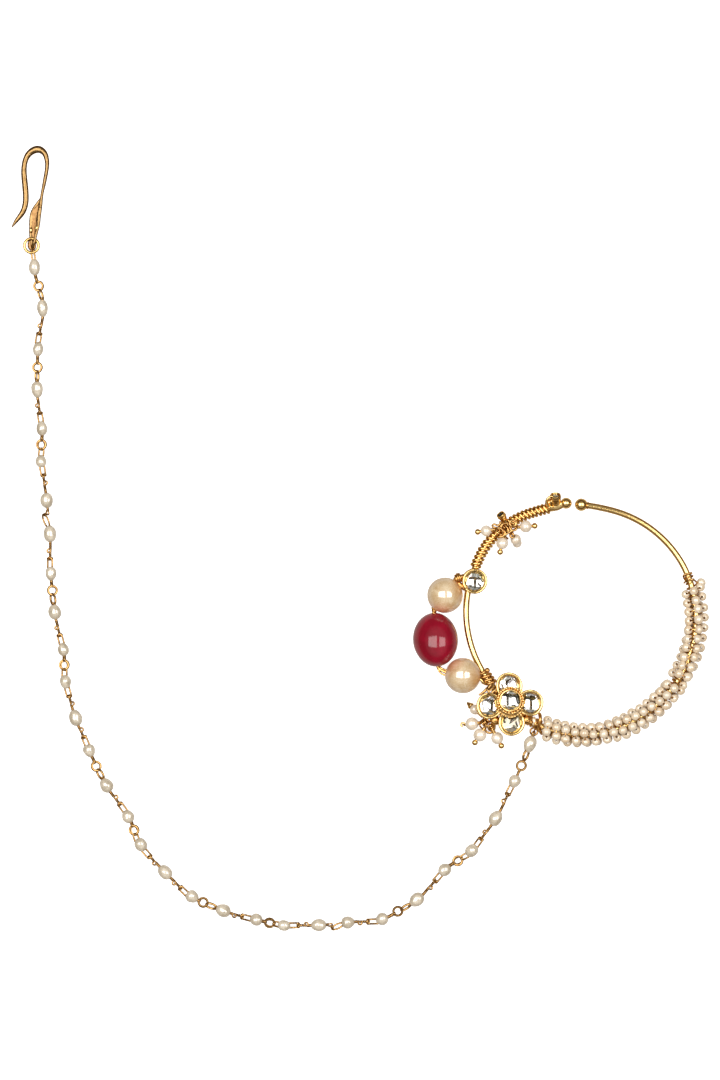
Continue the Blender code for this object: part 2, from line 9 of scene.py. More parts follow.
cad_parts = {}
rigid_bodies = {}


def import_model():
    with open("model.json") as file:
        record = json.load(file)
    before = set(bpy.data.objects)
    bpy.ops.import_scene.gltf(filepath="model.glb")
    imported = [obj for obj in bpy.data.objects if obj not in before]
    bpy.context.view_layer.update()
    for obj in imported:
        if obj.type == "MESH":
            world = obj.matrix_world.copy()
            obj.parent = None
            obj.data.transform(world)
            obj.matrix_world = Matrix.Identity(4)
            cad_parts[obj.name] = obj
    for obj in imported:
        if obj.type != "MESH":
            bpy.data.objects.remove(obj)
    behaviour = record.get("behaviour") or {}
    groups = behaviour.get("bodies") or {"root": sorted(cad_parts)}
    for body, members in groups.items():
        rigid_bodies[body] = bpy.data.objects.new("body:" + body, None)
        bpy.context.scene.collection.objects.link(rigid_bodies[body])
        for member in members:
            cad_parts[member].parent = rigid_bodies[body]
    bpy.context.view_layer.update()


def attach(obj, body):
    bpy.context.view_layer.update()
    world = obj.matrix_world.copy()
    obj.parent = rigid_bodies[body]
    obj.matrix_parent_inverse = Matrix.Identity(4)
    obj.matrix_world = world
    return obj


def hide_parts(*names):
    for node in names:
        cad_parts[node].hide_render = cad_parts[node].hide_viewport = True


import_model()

MM = 0.001
RNG = np.random.default_rng(7)

# ------------------------------------------------------------ sizes, millimetres, as in the CAD
MIDDLE = np.array([0.17, -0.07, 0.0])
HOOP_X, HOOP_Y, HOOP_Z = 42.18, -15.58, 2.55
WIRE_R = 0.60
SEAT_Z = 3.30
HOOP_ROWS = [
    (90.1, 22.10), (82, 21.86), (70, 21.84), (55, 21.94), (40, 22.00), (25, 22.00),
    (12, 21.88), (0, 21.80), (-12, 21.64), (-28, 21.54), (-45, 21.44), (-60, 21.50),
    (-75, 21.64), (-90, 21.70), (-105, 21.54), (-118, 21.28), (-132, 21.08),
    (-146, 21.00), (-160, 21.28), (-175, 21.70), (-190, 22.16), (-200, 22.42),
    (-208, 22.66), (-216, 23.00), (-224, 23.12), (-232, 23.08), (-240, 22.88),
    (-248, 22.50), (-256, 22.32), (-262.6, 22.57),
]
# small pearls of the chain: x, y, full width, full length
CHAIN = [
    (-61.83, 51.74, 2.09, 3.00), (-60.31, 43.89, 2.00, 3.17), (-61.14, 36.14, 1.90, 2.64),
    (-61.31, 28.42, 2.19, 3.00), (-60.44, 21.05, 2.00, 2.64), (-60.59, 14.82, 2.00, 2.28),
    (-59.49, 7.32, 2.38, 2.79), (-58.90, 0.99, 2.38, 3.04), (-58.71, -6.61, 2.03, 2.55),
    (-57.99, -13.87, 2.38, 2.79), (-56.34, -21.00, 2.07, 2.39), (-55.95, -27.17, 2.07, 2.51),
    (-54.02, -34.01, 2.39, 3.04), (-51.40, -40.28, 2.19, 2.39), (-48.16, -46.84, 2.40, 2.74),
    (-44.04, -52.78, 2.19, 2.47), (-41.59, -58.14, 2.28, 2.55), (-36.99, -63.38, 2.40, 2.85),
    (-31.82, -68.02, 2.28, 2.38), (-25.95, -70.68, 2.40, 2.76), (-19.66, -72.39, 2.28, 2.28),
    (-14.35, -73.53, 2.09, 2.28), (-7.77, -73.44, 2.28, 2.76), (-2.19, -72.92, 2.28, 2.38),
    (4.28, -72.30, 2.28, 2.28), (10.85, -68.63, 2.38, 2.95), (16.23, -62.93, 2.28, 2.47),
    (21.34, -59.28, 2.28, 2.55), (25.92, -53.11, 2.40, 2.95), (29.49, -46.09, 2.19, 2.38),
    (32.40, -39.05, 2.38, 3.13),
]
GAPS = "A B A B C R D B A B C R B A B C R B A B C R D B A B C R B F".split()
HOOK_ROWS = [
    (-66.12, 59.38, 0.45, 0.10, 0.12), (-65.32, 60.55, 0.50, 0.30, 0.28),
    (-64.09, 62.23, 0.52, 0.42, 0.36), (-63.62, 63.60, 0.52, 0.45, 0.40),
    (-63.52, 65.63, 0.52, 0.46, 0.42), (-63.70, 67.81, 0.52, 0.46, 0.42),
    (-63.86, 69.71, 0.52, 0.44, 0.42), (-63.74, 71.44, 0.52, 0.42, 0.42),
    (-63.21, 72.90, 0.52, 0.46, 0.42), (-62.21, 73.88, 0.52, 0.54, 0.42),
    (-61.10, 74.16, 0.52, 0.56, 0.42), (-60.10, 73.62, 0.52, 0.46, 0.44),
    (-59.58, 72.50, 0.52, 0.38, 0.45), (-59.45, 71.20, 0.52, 0.33, 0.45),
    (-59.66, 69.50, 0.52, 0.30, 0.45), (-60.02, 67.60, 0.52, 0.28, 0.45),
    (-60.42, 65.60, 0.54, 0.28, 0.44), (-60.62, 64.20, 0.70, 0.34, 0.36),
    (-60.80, 62.80, 0.98, 0.38, 0.28), (-61.00, 61.00, 1.22, 0.36, 0.26),
    (-61.20, 59.20, 1.48, 0.31, 0.25), (-61.55, 57.80, 1.66, 0.27, 0.25),
    (-61.80, 56.60, 1.66, 0.27, 0.25), (-62.06, 55.72, 1.44, 0.27, 0.25),
    (-62.20, 55.30, 1.02, 0.27, 0.25), (-62.30, 55.62, 0.66, 0.27, 0.25),
    (-62.42, 56.70, 0.46, 0.30, 0.23), (-62.53, 57.60, 0.40, 0.34, 0.22),
    (-62.48, 59.10, 0.36, 0.42, 0.21), (-62.36, 60.30, 0.34, 0.54, 0.20),
    (-62.12, 61.40, 0.32, 0.68, 0.20), (-61.86, 62.40, 0.32, 0.64, 0.20),
    (-61.46, 63.30, 0.34, 0.50, 0.19), (-61.02, 64.20, 0.40, 0.30, 0.18), (-60.80, 64.70, 0.46, 0.18, 0.16),
]
HOOK_RING = (-62.41, 55.82, 1.00, 1.35, 0.28)
BIG_BEADS = [
    ("pearl_upper", (16.23, -10.68, 4.10), 3.38, 3.38, (-0.632, -0.775, 0.0)),
    ("ruby_bead", (14.42, -19.11, 4.28), 5.12, 4.26, (0.080, -0.997, 0.0)),
    ("pearl_lower", (19.59, -25.94, 4.45), 3.38, 3.38, (0.978, -0.200, -0.06)),
]
BEAD_WIRE = 0.26
FLOWER_X, FLOWER_Y = 28.63, -30.95
PETALS = [("stone_top", 28.41, -27.84), ("stone_right", 32.40, -31.10),
          ("stone_bottom", 28.86, -34.85), ("stone_left", 24.70, -31.65)]
ROUND_X, ROUND_Y = 21.85, -7.98
DROPS = [
    ("u1", "upper", (22.46, 1.35, 3.60), 1.03, "ball"),
    ("u2", "upper", (33.27, 2.49, 3.70), 1.12, "ball"),
    ("u3", "upper", (26.70, -2.47, 3.95), 1.12, "ball"),
    ("l1", "lower", (19.67, -35.34, 1.10), 1.23, "curl"),
    ("l2", "lower", (21.95, -38.72, 1.10), 1.23, "ball"),
    ("l3", "lower", (26.98, -39.33, 1.10), 1.16, "ball"),
    ("l4", "lower", (20.84, -31.45, 1.20), 0.95, "cone"),
]
DROP_RINGS = {"upper": (27.76, 2.10, 4.32, 1.00, 0.15), "lower": (24.51, -34.77, 2.45, 0.80, 0.15)}
PIN_R, PIN_EYE, PIN_BALL = 0.14, 0.40, 0.57


def at(px, py):
    """Table millimetres of a place measured on the photograph."""
    return (px - 359.5) * 0.19, (539.0 - py) * 0.19


# ------------------------------------------------------------ mesh helpers
class Shape:
    def __init__(self):
        self.points, self.quads, self.tris, self.count = [], [], [], 0

    def put(self, points, quads=(), tris=()):
        points = np.asarray(points, float).reshape(-1, 3)
        if len(quads):
            self.quads.append(np.asarray(quads, np.int64).reshape(-1, 4) + self.count)
        if len(tris):
            self.tris.append(np.asarray(tris, np.int64).reshape(-1, 3) + self.count)
        self.points.append(points)
        self.count += len(points)


def piece(name, shape, node, slot, look, sharp=40.0, flat=False, replaces=True):
    points = ((np.concatenate(shape.points) - MIDDLE) * MM).astype(np.float32)
    quads = np.concatenate(shape.quads) if shape.quads else np.zeros((0, 4), np.int64)
    tris = np.concatenate(shape.tris) if shape.tris else np.zeros((0, 3), np.int64)
    mesh = bpy.data.meshes.new(name)
    mesh.vertices.add(len(points))
    mesh.vertices.foreach_set("co", points.ravel())
    loops = np.concatenate([quads.ravel(), tris.ravel()]).astype(np.int32)
    starts = np.concatenate([np.arange(len(quads)) * 4, len(quads) * 4 + np.arange(len(tris)) * 3])
    mesh.loops.add(len(loops))
    mesh.loops.foreach_set("vertex_index", loops)
    mesh.polygons.add(len(starts))
    mesh.polygons.foreach_set("loop_start", starts.astype(np.int32))
    mesh.update(calc_edges=True)
    mesh.validate()
    if getattr(shape, "shade", None) is not None:
        mesh.attributes.new("shade", "FLOAT", "POINT").data.foreach_set("value", shape.shade.astype(np.float32))
    bm = bmesh.new()
    bm.from_mesh(mesh)
    bmesh.ops.recalc_face_normals(bm, faces=bm.faces)
    bm.to_mesh(mesh)
    bm.free()
    mesh.polygons.foreach_set("use_smooth", np.full(len(mesh.polygons), not flat))
    if not flat:
        mesh.set_sharp_from_angle(angle=math.radians(sharp))
    mesh.materials.append(look)
    obj = bpy.data.objects.new(name, mesh)
    bpy.context.scene.collection.objects.link(obj)
    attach(obj, "root")
    if replaces:
        for each in ([node] if isinstance(node, str) else node):
            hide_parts(each)
    return obj


def unit(v):
    v = np.asarray(v, float)
    return v / np.linalg.norm(v)


def cubic(xs, rows):
    xs, rows = np.array(xs, float), np.array(rows, float)
    n, h = len(xs), np.diff(xs)
    left, right = np.eye(n), np.zeros_like(rows)
    for i in range(1, n - 1):
        left[i, i - 1:i + 2] = h[i - 1], 2 * (h[i - 1] + h[i]), h[i]
        right[i] = 6 * ((rows[i + 1] - rows[i]) / h[i] - (rows[i] - rows[i - 1]) / h[i - 1])
    second = np.linalg.solve(left, right)

    def value(x):
        i = min(max(int(np.searchsorted(xs, x)) - 1, 0), n - 2)
        a, b = (xs[i + 1] - x) / h[i], (x - xs[i]) / h[i]
        return (a * rows[i] + b * rows[i + 1]
                + ((a ** 3 - a) * second[i] + (b ** 3 - b) * second[i + 1]) * h[i] ** 2 / 6)
    return value


def smooth_rows(rows, step):
    rows = np.array(rows, float)
    run = np.concatenate([[0], np.cumsum(np.linalg.norm(np.diff(rows[:, :3], axis=0), axis=1))])
    value = cubic(run, rows)
    count = max(2, int(math.ceil(run[-1] / step)) + 1)
    return np.array([value(x) for x in np.linspace(0, run[-1], count)])


_order = sorted(HOOP_ROWS)
_radius = cubic([r[0] for r in _order], [[r[1]] for r in _order])


def hoop_at(deg, out=0.0, up=0.0):
    radius = float(_radius(deg)[0]) + out
    turn = math.radians(deg)
    return np.array([HOOP_X + radius * math.cos(turn), HOOP_Y + radius * math.sin(turn), HOOP_Z + up])


def hoop_frame(deg):
    along = unit(hoop_at(deg + 0.2) - hoop_at(deg - 0.2))
    return along, np.array([along[1], -along[0], 0.0])


UP = np.array([0.0, 0.0, 1.0])


def frames(points, closed=False, first=UP, level=False):
    p = np.asarray(points, float)
    if closed:
        t = np.roll(p, -1, 0) - np.roll(p, 1, 0)
    else:
        t = np.gradient(p, axis=0)
    t /= np.linalg.norm(t, axis=1)[:, None]
    top = np.array(first, float)
    if abs(np.dot(unit(top), t[0])) > 0.98:
        top = np.array([1.0, 0.0, 0.0]) if abs(t[0][0]) < 0.9 else np.array([0.0, 1.0, 0.0])
    sides, tops = np.zeros_like(p), np.zeros_like(p)
    for i in range(len(p)):
        if level and i:
            side = sides[i - 1]
            flat = np.cross(t[i], UP)
            if np.linalg.norm(flat) > 0.5:
                side = flat if np.dot(flat, side) > 0 else -flat
            side = unit(side - t[i] * np.dot(side, t[i]))
            sides[i], tops[i] = side, np.cross(side, t[i])
            continue
        if i:
            v, c = np.cross(t[i - 1], t[i]), np.dot(t[i - 1], t[i])
            top = top * c + np.cross(v, top) + v * np.dot(v, top) / (1 + c + 1e-9)
        top = unit(top - t[i] * np.dot(top, t[i]))
        tops[i], sides[i] = top, unit(np.cross(t[i], top))
    return t, sides, tops


def grid_quads(rows, cols, wrap_rows, wrap_cols=True):
    i, j = np.meshgrid(np.arange(rows if wrap_rows else rows - 1),
                       np.arange(cols if wrap_cols else cols - 1), indexing="ij")
    a, b = (i + 1) % rows, (j + 1) % cols
    return np.stack([i * cols + j, i * cols + b, a * cols + b, a * cols + j], -1).reshape(-1, 4)


def sweep(shape, rows, sides=12, closed=False, first=UP, level=False, ends=True):
    """Solid along rows of x, y, z, half width[, half height]; open ends are rounded."""
    rows = np.array([list(r) + [r[3]] * (5 - len(r)) for r in rows], float)
    if not closed and ends:
        for way in (0, -1):
            tip = rows[way]
            inner = rows[1 if way == 0 else -2]
            ahead = unit(tip[:3] - inner[:3])
            extra = []
            for deg in (30, 58, 82):
                a = math.radians(deg)
                reach = min(tip[3], tip[4])
                extra.append([*(tip[:3] + ahead * reach * math.sin(a)), tip[3] * math.cos(a), tip[4] * math.cos(a)])
            rows = np.vstack([extra[::-1], rows]) if way == 0 else np.vstack([rows, extra])
    _, side, top = frames(rows[:, :3], closed, first, level)
    turn = 2 * np.pi * np.arange(sides) / sides
    points = (rows[:, None, :3] + side[:, None] * (rows[:, 3, None] * np.sin(turn))[..., None]
              - top[:, None] * (rows[:, 4, None] * np.cos(turn))[..., None])
    n = len(rows)
    quads = grid_quads(n, sides, closed)
    points = points.reshape(-1, 3)
    tris = []
    if not closed:
        points = np.vstack([points, rows[0, :3], rows[-1, :3]])
        k = np.arange(sides)
        tris = np.vstack([np.stack([np.full(sides, n * sides), (k + 1) % sides, k], -1),
                          np.stack([np.full(sides, n * sides + 1), (n - 1) * sides + k,
                                    (n - 1) * sides + (k + 1) % sides], -1)])
    shape.put(points, quads, tris)


def turn_to(axis):
    return np.array(Vector((0, 0, 1)).rotation_difference(Vector(unit(axis))).to_matrix())


def lathe(shape, profile, centre, axis=UP, sides=32, closed=False, warp=None, spin=0.0):
    """Profile of (radius, height) turned about an axis; an open one starts and ends on the axis."""
    profile = np.array(profile, float)
    turn = 2 * np.pi * np.arange(sides) / sides + spin
    points = np.stack([profile[:, :1] * np.cos(turn), profile[:, :1] * np.sin(turn),
                       np.repeat(profile[:, 1:], sides, 1)], -1).reshape(-1, 3)
    if warp is not None:
        points = warp(points)
    points = points @ turn_to(axis).T + np.asarray(centre, float)
    shape.put(points, grid_quads(len(profile), sides, closed))


def ring(shape, centre, axis, radius, wire, around=40, sides=12, squash=1.0, spin=None, flat=None):
    axis = unit(axis)
    start = unit(np.cross(axis, UP)) if spin is None and abs(axis[2]) < 0.99 else unit(
        np.cross(axis, np.cross(spin if spin is not None else np.array([1.0, 0, 0]), axis)))
    other = np.cross(axis, start)
    a = 2 * np.pi * np.arange(around) / around
    points = np.asarray(centre, float) + radius * (np.cos(a)[:, None] * start + squash * np.sin(a)[:, None] * other)
    rows = [(*p, wire, flat if flat else wire) for p in points]
    sweep(shape, rows, sides, closed=True, first=axis)


def belt(shape, one, one_r, two, two_r, wire, side, around=18, sides=10):
    one, two, side = np.array(one, float), np.array(two, float), unit(side)
    reach = two - one
    ahead = unit(reach)
    across = unit(np.cross(side, ahead))
    wrap = math.acos((one_r - two_r) / np.linalg.norm(reach))
    rows = []
    for centre, radius, start, stop in ((one, one_r, wrap, 2 * math.pi - wrap), (two, two_r, -wrap, wrap)):
        for k in range(around):
            a = start + (stop - start) * k / (around - 1)
            rows.append((*(centre + (ahead * math.cos(a) + across * math.sin(a)) * radius), wire))
    sweep(shape, rows, sides, closed=True, first=side)


def ball(shape, centre, radius, axis=UP, sides=20, long=1.0):
    profile = [(radius * math.sin(a), -radius * long * math.cos(a)) for a in np.linspace(0.02, math.pi - 0.02, 15)]
    lathe(shape, [(0.0001, profile[0][1])] + profile + [(0.0001, profile[-1][1])], centre, axis, sides)


def bumpy(amount, size, seed, egg=0.0, half=1.0):
    """Slightly uneven form, as a grown pearl has."""
    r = np.random.default_rng(seed)
    p = r.uniform(0, 6.28, 6)
    q = r.uniform(0.8, 1.7, (4, 3)) * r.choice([-1, 1], (4, 3))

    def warp(points):
        x = points / size
        f = sum(np.sin(x @ q[i] * (1.4 + 0.5 * i) + p[i]) / (1 + 0.6 * i) for i in range(4))
        grow = 1 + amount * f * 0.5
        out = points.copy()
        out[:, :2] *= (grow * (1 + egg * points[:, 2] / half))[:, None]
        return out
    return warp


def bead(shape, centre, axis, half, radius, bore, around=22, steps=16, uneven=0.03, seed=0, egg=0.0, power=1.0):
    limit = math.acos(min(0.99, bore / radius))
    rows = []
    for a in np.linspace(-limit, limit, steps + 1):
        c, s = math.cos(a), math.sin(a)
        rows.append((radius * c ** power if c > 0 else 0, half * s))
    lip = rows[-1][1]
    low = rows[0][1]
    rows += [(bore * 0.80, lip - 0.02), (bore * 0.72, lip * 0.6), (bore * 0.72, low * 0.6), (bore * 0.80, low + 0.02)]
    lathe(shape, rows, centre, axis, around, closed=True, warp=bumpy(uneven, radius, seed, egg, half),
          spin=float(seed % 7))


def helix_rows(a, b, turns, radius, wire, per_turn=14, phase=0.0, hand=1, grow=0.0):
    """Wire wound round the straight line from a to b."""
    a, b = np.array(a, float), np.array(b, float)
    ahead = unit(b - a)
    side = unit(np.cross(ahead, UP if abs(ahead[2]) < 0.9 else np.array([1.0, 0, 0])))
    top = np.cross(side, ahead)
    count = max(4, int(turns * per_turn))
    rows = []
    for k in range(count + 1):
        s = k / count
        w = phase + hand * 2 * math.pi * turns * s
        r = radius * (1 + grow * s)
        rows.append((*(a + (b - a) * s + side * r * math.cos(w) + top * r * math.sin(w)), wire))
    return rows


def wound(start, stop, turns, radius, wire, per_turn=20, phase=90.0, hand=1, lean=0.0, uneven=0.0, seed=1,
          square=1.0, roll=0.0):
    """Wire wound round the hoop between two angles; lean slants the turns."""
    r = np.random.default_rng(seed)
    count = int(round(turns * per_turn))
    knots = r.normal(0, uneven, int(turns) * 2 + 6)
    cr, sr = math.cos(math.radians(roll)), math.sin(math.radians(roll))
    rows = []
    for k in range(count + 1):
        s = k / count
        deg = start + (stop - start) * s
        w = math.radians(phase + hand * 360.0 * turns * s)
        along, out = hoop_frame(deg)
        x = turns * 2 * s
        i = int(x)
        jog = knots[i] * (1 - (x - i)) + knots[i + 1] * (x - i)
        c, h = (math.copysign(abs(f) ** square, f) for f in (math.cos(w), math.sin(w)))
        c, h = c * cr + h * sr, h * cr - c * sr
        point = (hoop_at(deg) + out * ((radius + max(-0.01, jog * 0.5)) * c)
                 + UP * ((radius + max(-0.01, jog * 0.3)) * h)
                 + along * (lean * math.cos(w) + jog))
        rows.append((*point, wire))
    return rows


# ------------------------------------------------------------ materials
class Look:
    def __init__(self, name, scale=1000.0):
        self.mat = bpy.data.materials.new(name)
        self.mat.use_nodes = True
        self.tree = self.mat.node_tree
        self.shader = self.tree.nodes["Principled BSDF"]
        coord = self.tree.nodes.new("ShaderNodeTexCoord")
        place = self.tree.nodes.new("ShaderNodeMapping")
        place.inputs["Scale"].default_value = (scale, scale, scale)
        self.link(coord.outputs["Object"], place.inputs["Vector"])
        self.vector = place.outputs["Vector"]

    def link(self, a, b):
        self.tree.links.new(a, b)

    def set(self, **values):
        for key, value in values.items():
            self.shader.inputs[key.replace("_", " ")].default_value = value

    def noise(self, scale, detail=3.0, rough=0.55, stretch=None, distort=0.0):
        node = self.tree.nodes.new("ShaderNodeTexNoise")
        node.inputs["Scale"].default_value = scale
        node.inputs["Detail"].default_value = detail
        node.inputs["Roughness"].default_value = rough
        node.inputs["Distortion"].default_value = distort
        vector = self.vector
        if stretch:
            more = self.tree.nodes.new("ShaderNodeMapping")
            more.inputs["Scale"].default_value = stretch
            self.link(vector, more.inputs["Vector"])
            vector = more.outputs["Vector"]
        self.link(vector, node.inputs["Vector"])
        return node.outputs["Fac"]

    def cells(self, scale, feature="F1", output="Distance", random=1.0):
        node = self.tree.nodes.new("ShaderNodeTexVoronoi")
        node.feature = feature
        node.inputs["Scale"].default_value = scale
        node.inputs["Randomness"].default_value = random
        self.link(self.vector, node.inputs["Vector"])
        return node.outputs[output]

    def away(self, place):
        """Distance in millimetres from a place of the table."""
        node = self.tree.nodes.new("ShaderNodeVectorMath")
        node.operation = "DISTANCE"
        node.inputs[1].default_value = tuple(float(n) for n in np.array(place) - MIDDLE)
        self.link(self.vector, node.inputs[0])
        return node.outputs["Value"]

    def ramp(self, fac, stops):
        node = self.tree.nodes.new("ShaderNodeValToRGB")
        band = node.color_ramp
        while len(band.elements) < len(stops):
            band.elements.new(0.5)
        for element, (place, colour) in zip(band.elements, stops):
            element.position = place
            element.color = (*colour, 1.0)
        self.link(fac, node.inputs["Fac"])
        return node.outputs["Color"]

    def span(self, fac, low, high, start=0.3, stop=0.7):
        node = self.tree.nodes.new("ShaderNodeMapRange")
        node.inputs["From Min"].default_value = start
        node.inputs["From Max"].default_value = stop
        node.inputs["To Min"].default_value = low
        node.inputs["To Max"].default_value = high
        self.link(fac, node.inputs["Value"])
        return node.outputs["Result"]

    def mix(self, fac, one, two, kind="MIX"):
        node = self.tree.nodes.new("ShaderNodeMix")
        node.data_type = "RGBA"
        node.blend_type = kind
        for value, key in ((fac, 0), (one, 6), (two, 7)):
            if isinstance(value, bpy.types.NodeSocket):
                self.link(value, node.inputs[key])
            else:
                node.inputs[key].default_value = value if key == 0 else (*value, 1.0)
        return node.outputs[2]

    def bump(self, height, strength, distance, under=None):
        node = self.tree.nodes.new("ShaderNodeBump")
        node.inputs["Strength"].default_value = strength
        node.inputs["Distance"].default_value = distance * MM
        self.link(height, node.inputs["Height"])
        if under is not None:
            self.link(under, node.inputs["Normal"])
        self.link(node.outputs["Normal"], self.shader.inputs["Normal"])
        return node.outputs["Normal"]


def gold(name, bright=(0.90, 0.64, 0.27), deep=(0.75, 0.49, 0.18), rough=(0.05, 0.12), dent=0.10, dent_scale=2.2,
         grain=0.08, stretch=None, rim_shade_tint=(0.50, 0.27, 0.13)):
    look = Look(name)
    look.link(look.ramp(look.noise(0.9, 4.0), [(0.30, deep), (0.55, bright), (0.75, deep)]),
              look.shader.inputs["Base Color"])
    look.link(look.span(look.noise(3.0, 4.0), rough[0], rough[1]), look.shader.inputs["Roughness"])
    look.set(Metallic=1.0)
    # painted shade: the dark brown default tint darkens the gold's grazing reflections on every rim
    look.shader.inputs["Specular Tint"].default_value = (*rim_shade_tint, 1.0)
    dents = look.bump(look.noise(dent_scale, 2.0, 0.4, stretch=stretch), dent, 0.10)
    look.bump(look.noise(16.0, 3.0, 0.6), grain, 0.02, dents)
    return look.mat


def pearl(name, light, dark, rough=(0.12, 0.20), ior=1.9, ridges=0.10, ridge_scale=1.2, sheen=(1.0, 0.75, 0.62),
          sheen_weight=0.25, coat=0.35, painted_reflections=()):
    look = Look(name)
    cloud = look.ramp(look.noise(0.45, 4.0, 0.6, distort=0.6), [(0.34, dark), (0.62, light)])
    speck = look.ramp(look.noise(5.0, 3.0), [(0.36, tuple(0.90 * c for c in light)), (0.60, (1.0, 1.0, 1.0))])
    body = look.mix(0.55, cloud, speck, "MULTIPLY")
    # painted reflection: each spot tints the base colour peach or orange near a place, fading out over its reach,
    # where the ruby and the gold would reflect
    for place, reach, tint in painted_reflections:
        body = look.mix(look.span(look.away(place), 0.75, 0.0, 0.6, reach), body, tint, "MULTIPLY")
    look.link(body, look.shader.inputs["Base Color"])
    look.link(look.span(look.noise(2.0, 4.0), rough[0], rough[1]), look.shader.inputs["Roughness"])
    look.set(IOR=ior, Coat_Weight=coat, Coat_Roughness=0.06, Coat_IOR=1.6, Sheen_Weight=sheen_weight,
             Sheen_Roughness=0.35)
    look.shader.inputs["Sheen Tint"].default_value = (*sheen, 1.0)
    swell = look.bump(look.noise(ridge_scale, 2.0, 0.4), ridges, 0.12)
    look.bump(look.noise(9.0, 4.0, 0.6), 0.05, 0.02, swell)
    return look.mat


def ruby(name):
    look = Look(name)
    veins = look.ramp(look.noise(0.35, 3.0, 0.5, distort=0.3),
                      [(0.25, (0.20, 0.002, 0.014)), (0.50, (0.27, 0.003, 0.020)), (0.78, (0.35, 0.005, 0.028))])
    look.link(veins, look.shader.inputs["Base Color"])
    look.link(look.span(look.noise(1.6, 4.0), 0.06, 0.13), look.shader.inputs["Roughness"])
    look.set(IOR=1.56, Coat_Weight=0.05, Coat_Roughness=0.04, Coat_IOR=1.5, Sheen_Weight=0.10, Sheen_Roughness=0.3)
    look.shader.inputs["Sheen Tint"].default_value = (1.0, 0.25, 0.38, 1.0)
    swell = look.bump(look.noise(0.7, 2.0, 0.4), 0.10, 0.15)
    look.bump(look.noise(7.0, 3.0, 0.5), 0.04, 0.02, swell)
    return look.mat


def stone(name, tint=(0.93, 0.93, 0.90), rough=(0.03, 0.09)):
    look = Look(name)
    chips = look.cells(1.7, output="Color")
    value = look.span(look.noise(1.1, 4.0, 0.6, distort=0.8), 0.0, 1.0, 0.35, 0.65)
    grey = look.ramp(value, [(0.0, (0.62, 0.62, 0.58)), (0.35, tint), (1.0, tint)])
    # painted shade: the mesh's shade attribute darkens the colour along the dark bands, in patches low on the stone
    # and at its rim
    painted_shade_attr = look.tree.nodes.new("ShaderNodeAttribute")
    painted_shade_attr.attribute_name = "shade"
    dark = look.ramp(painted_shade_attr.outputs["Fac"], [(0.0, (0.05, 0.055, 0.05)), (1.0, (1.0, 1.0, 1.0))])
    broken = look.mix(0.10, grey, chips, "MULTIPLY")
    look.link(look.mix(1.0, broken, dark, "MULTIPLY"), look.shader.inputs["Base Color"])
    look.link(look.span(look.noise(2.5, 3.0), rough[0], rough[1]), look.shader.inputs["Roughness"])
    look.set(Metallic=1.0, Coat_Weight=0.6, Coat_Roughness=0.02, Coat_IOR=1.6)
    look.bump(look.noise(3.5, 3.0, 0.5), 0.06, 0.03)
    return look.mat


GOLD = gold("gold_polished")
GOLD_WIRE = gold("gold_wire", bright=(0.90, 0.60, 0.22), deep=(0.72, 0.42, 0.13), rough=(0.07, 0.15), dent=0.06)
GOLD_LINK = gold("gold_link", bright=(0.54, 0.33, 0.125), deep=(0.24, 0.125, 0.04), rough=(0.20, 0.34), dent=0.10)
GOLD_DEEP = gold("gold_deep", bright=(0.70, 0.42, 0.15), deep=(0.40, 0.20, 0.065), rough=(0.10, 0.20), dent=0.08)
GOLD_SATIN = gold("gold_satin", bright=(0.96, 0.69, 0.30), deep=(0.86, 0.57, 0.22), rough=(0.16, 0.25), dent=0.12)
# the end balls take a pale rim tint, so no painted rim shade
GOLD_BALL = gold("gold_ball", rim_shade_tint=(1.0, 0.94, 0.84))
GOLD_SATIN_DEEP = gold("gold_satin_deep", bright=(0.72, 0.42, 0.14), deep=(0.50, 0.26, 0.085), rough=(0.24, 0.36),
                       dent=0.12)
GOLD_LEAF = gold("gold_leaf", bright=(0.24, 0.135, 0.056), deep=(0.14, 0.070, 0.026), rough=(0.16, 0.28), dent=0.60,
                 dent_scale=1.5, grain=0.15)
GOLD_HAMMERED = gold("gold_hammered", bright=(0.29, 0.180, 0.074), deep=(0.18, 0.105, 0.040), rough=(0.09, 0.18),
                     dent=0.45, dent_scale=1.5, grain=0.15)
# the four tinted spots of the big pearls are painted reflections, peach of the ruby and orange of the gold wires
PEARL_BIG = pearl("pearl_champagne", (0.86, 0.71, 0.49), (0.68, 0.49, 0.28), rough=(0.06, 0.10), ior=2.4,
                  ridges=0.05, sheen=(1.0, 0.70, 0.60), sheen_weight=0.30,
                  painted_reflections=[((*at(442.0, 612.0), 4.8), 3.4, (1.0, 0.45, 0.30)), ((*at(449.5, 661.0), 5.0), 3.9, (1.0, 0.45, 0.30)),
                        ((*at(461.5, 588.5), 5.0), 3.3, (1.0, 0.58, 0.22)), ((*at(479.0, 678.0), 5.0), 3.6, (1.0, 0.58, 0.22))])
PEARL_CHAIN = pearl("pearl_cream", (0.84, 0.77, 0.65), (0.56, 0.50, 0.39), rough=(0.06, 0.11), ior=2.5, ridges=0.25,
                    ridge_scale=1.6, sheen=(1.0, 0.85, 0.78), sheen_weight=0.15)
PEARL_SEED = pearl("pearl_seed", (0.91, 0.81, 0.66), (0.80, 0.64, 0.45), rough=(0.07, 0.12), ior=2.2, ridges=0.15,
                   ridge_scale=2.2, sheen=(1.0, 0.86, 0.75), sheen_weight=0.15)
PEARL_DROP = pearl("pearl_drop", (0.96, 0.88, 0.77), (0.80, 0.68, 0.53), rough=(0.06, 0.11), ior=2.4, ridges=0.20,
                   ridge_scale=1.6, sheen=(1.0, 0.80, 0.70), sheen_weight=0.20)
RUBY = ruby("ruby")
CLEAR = stone("clear_stone")
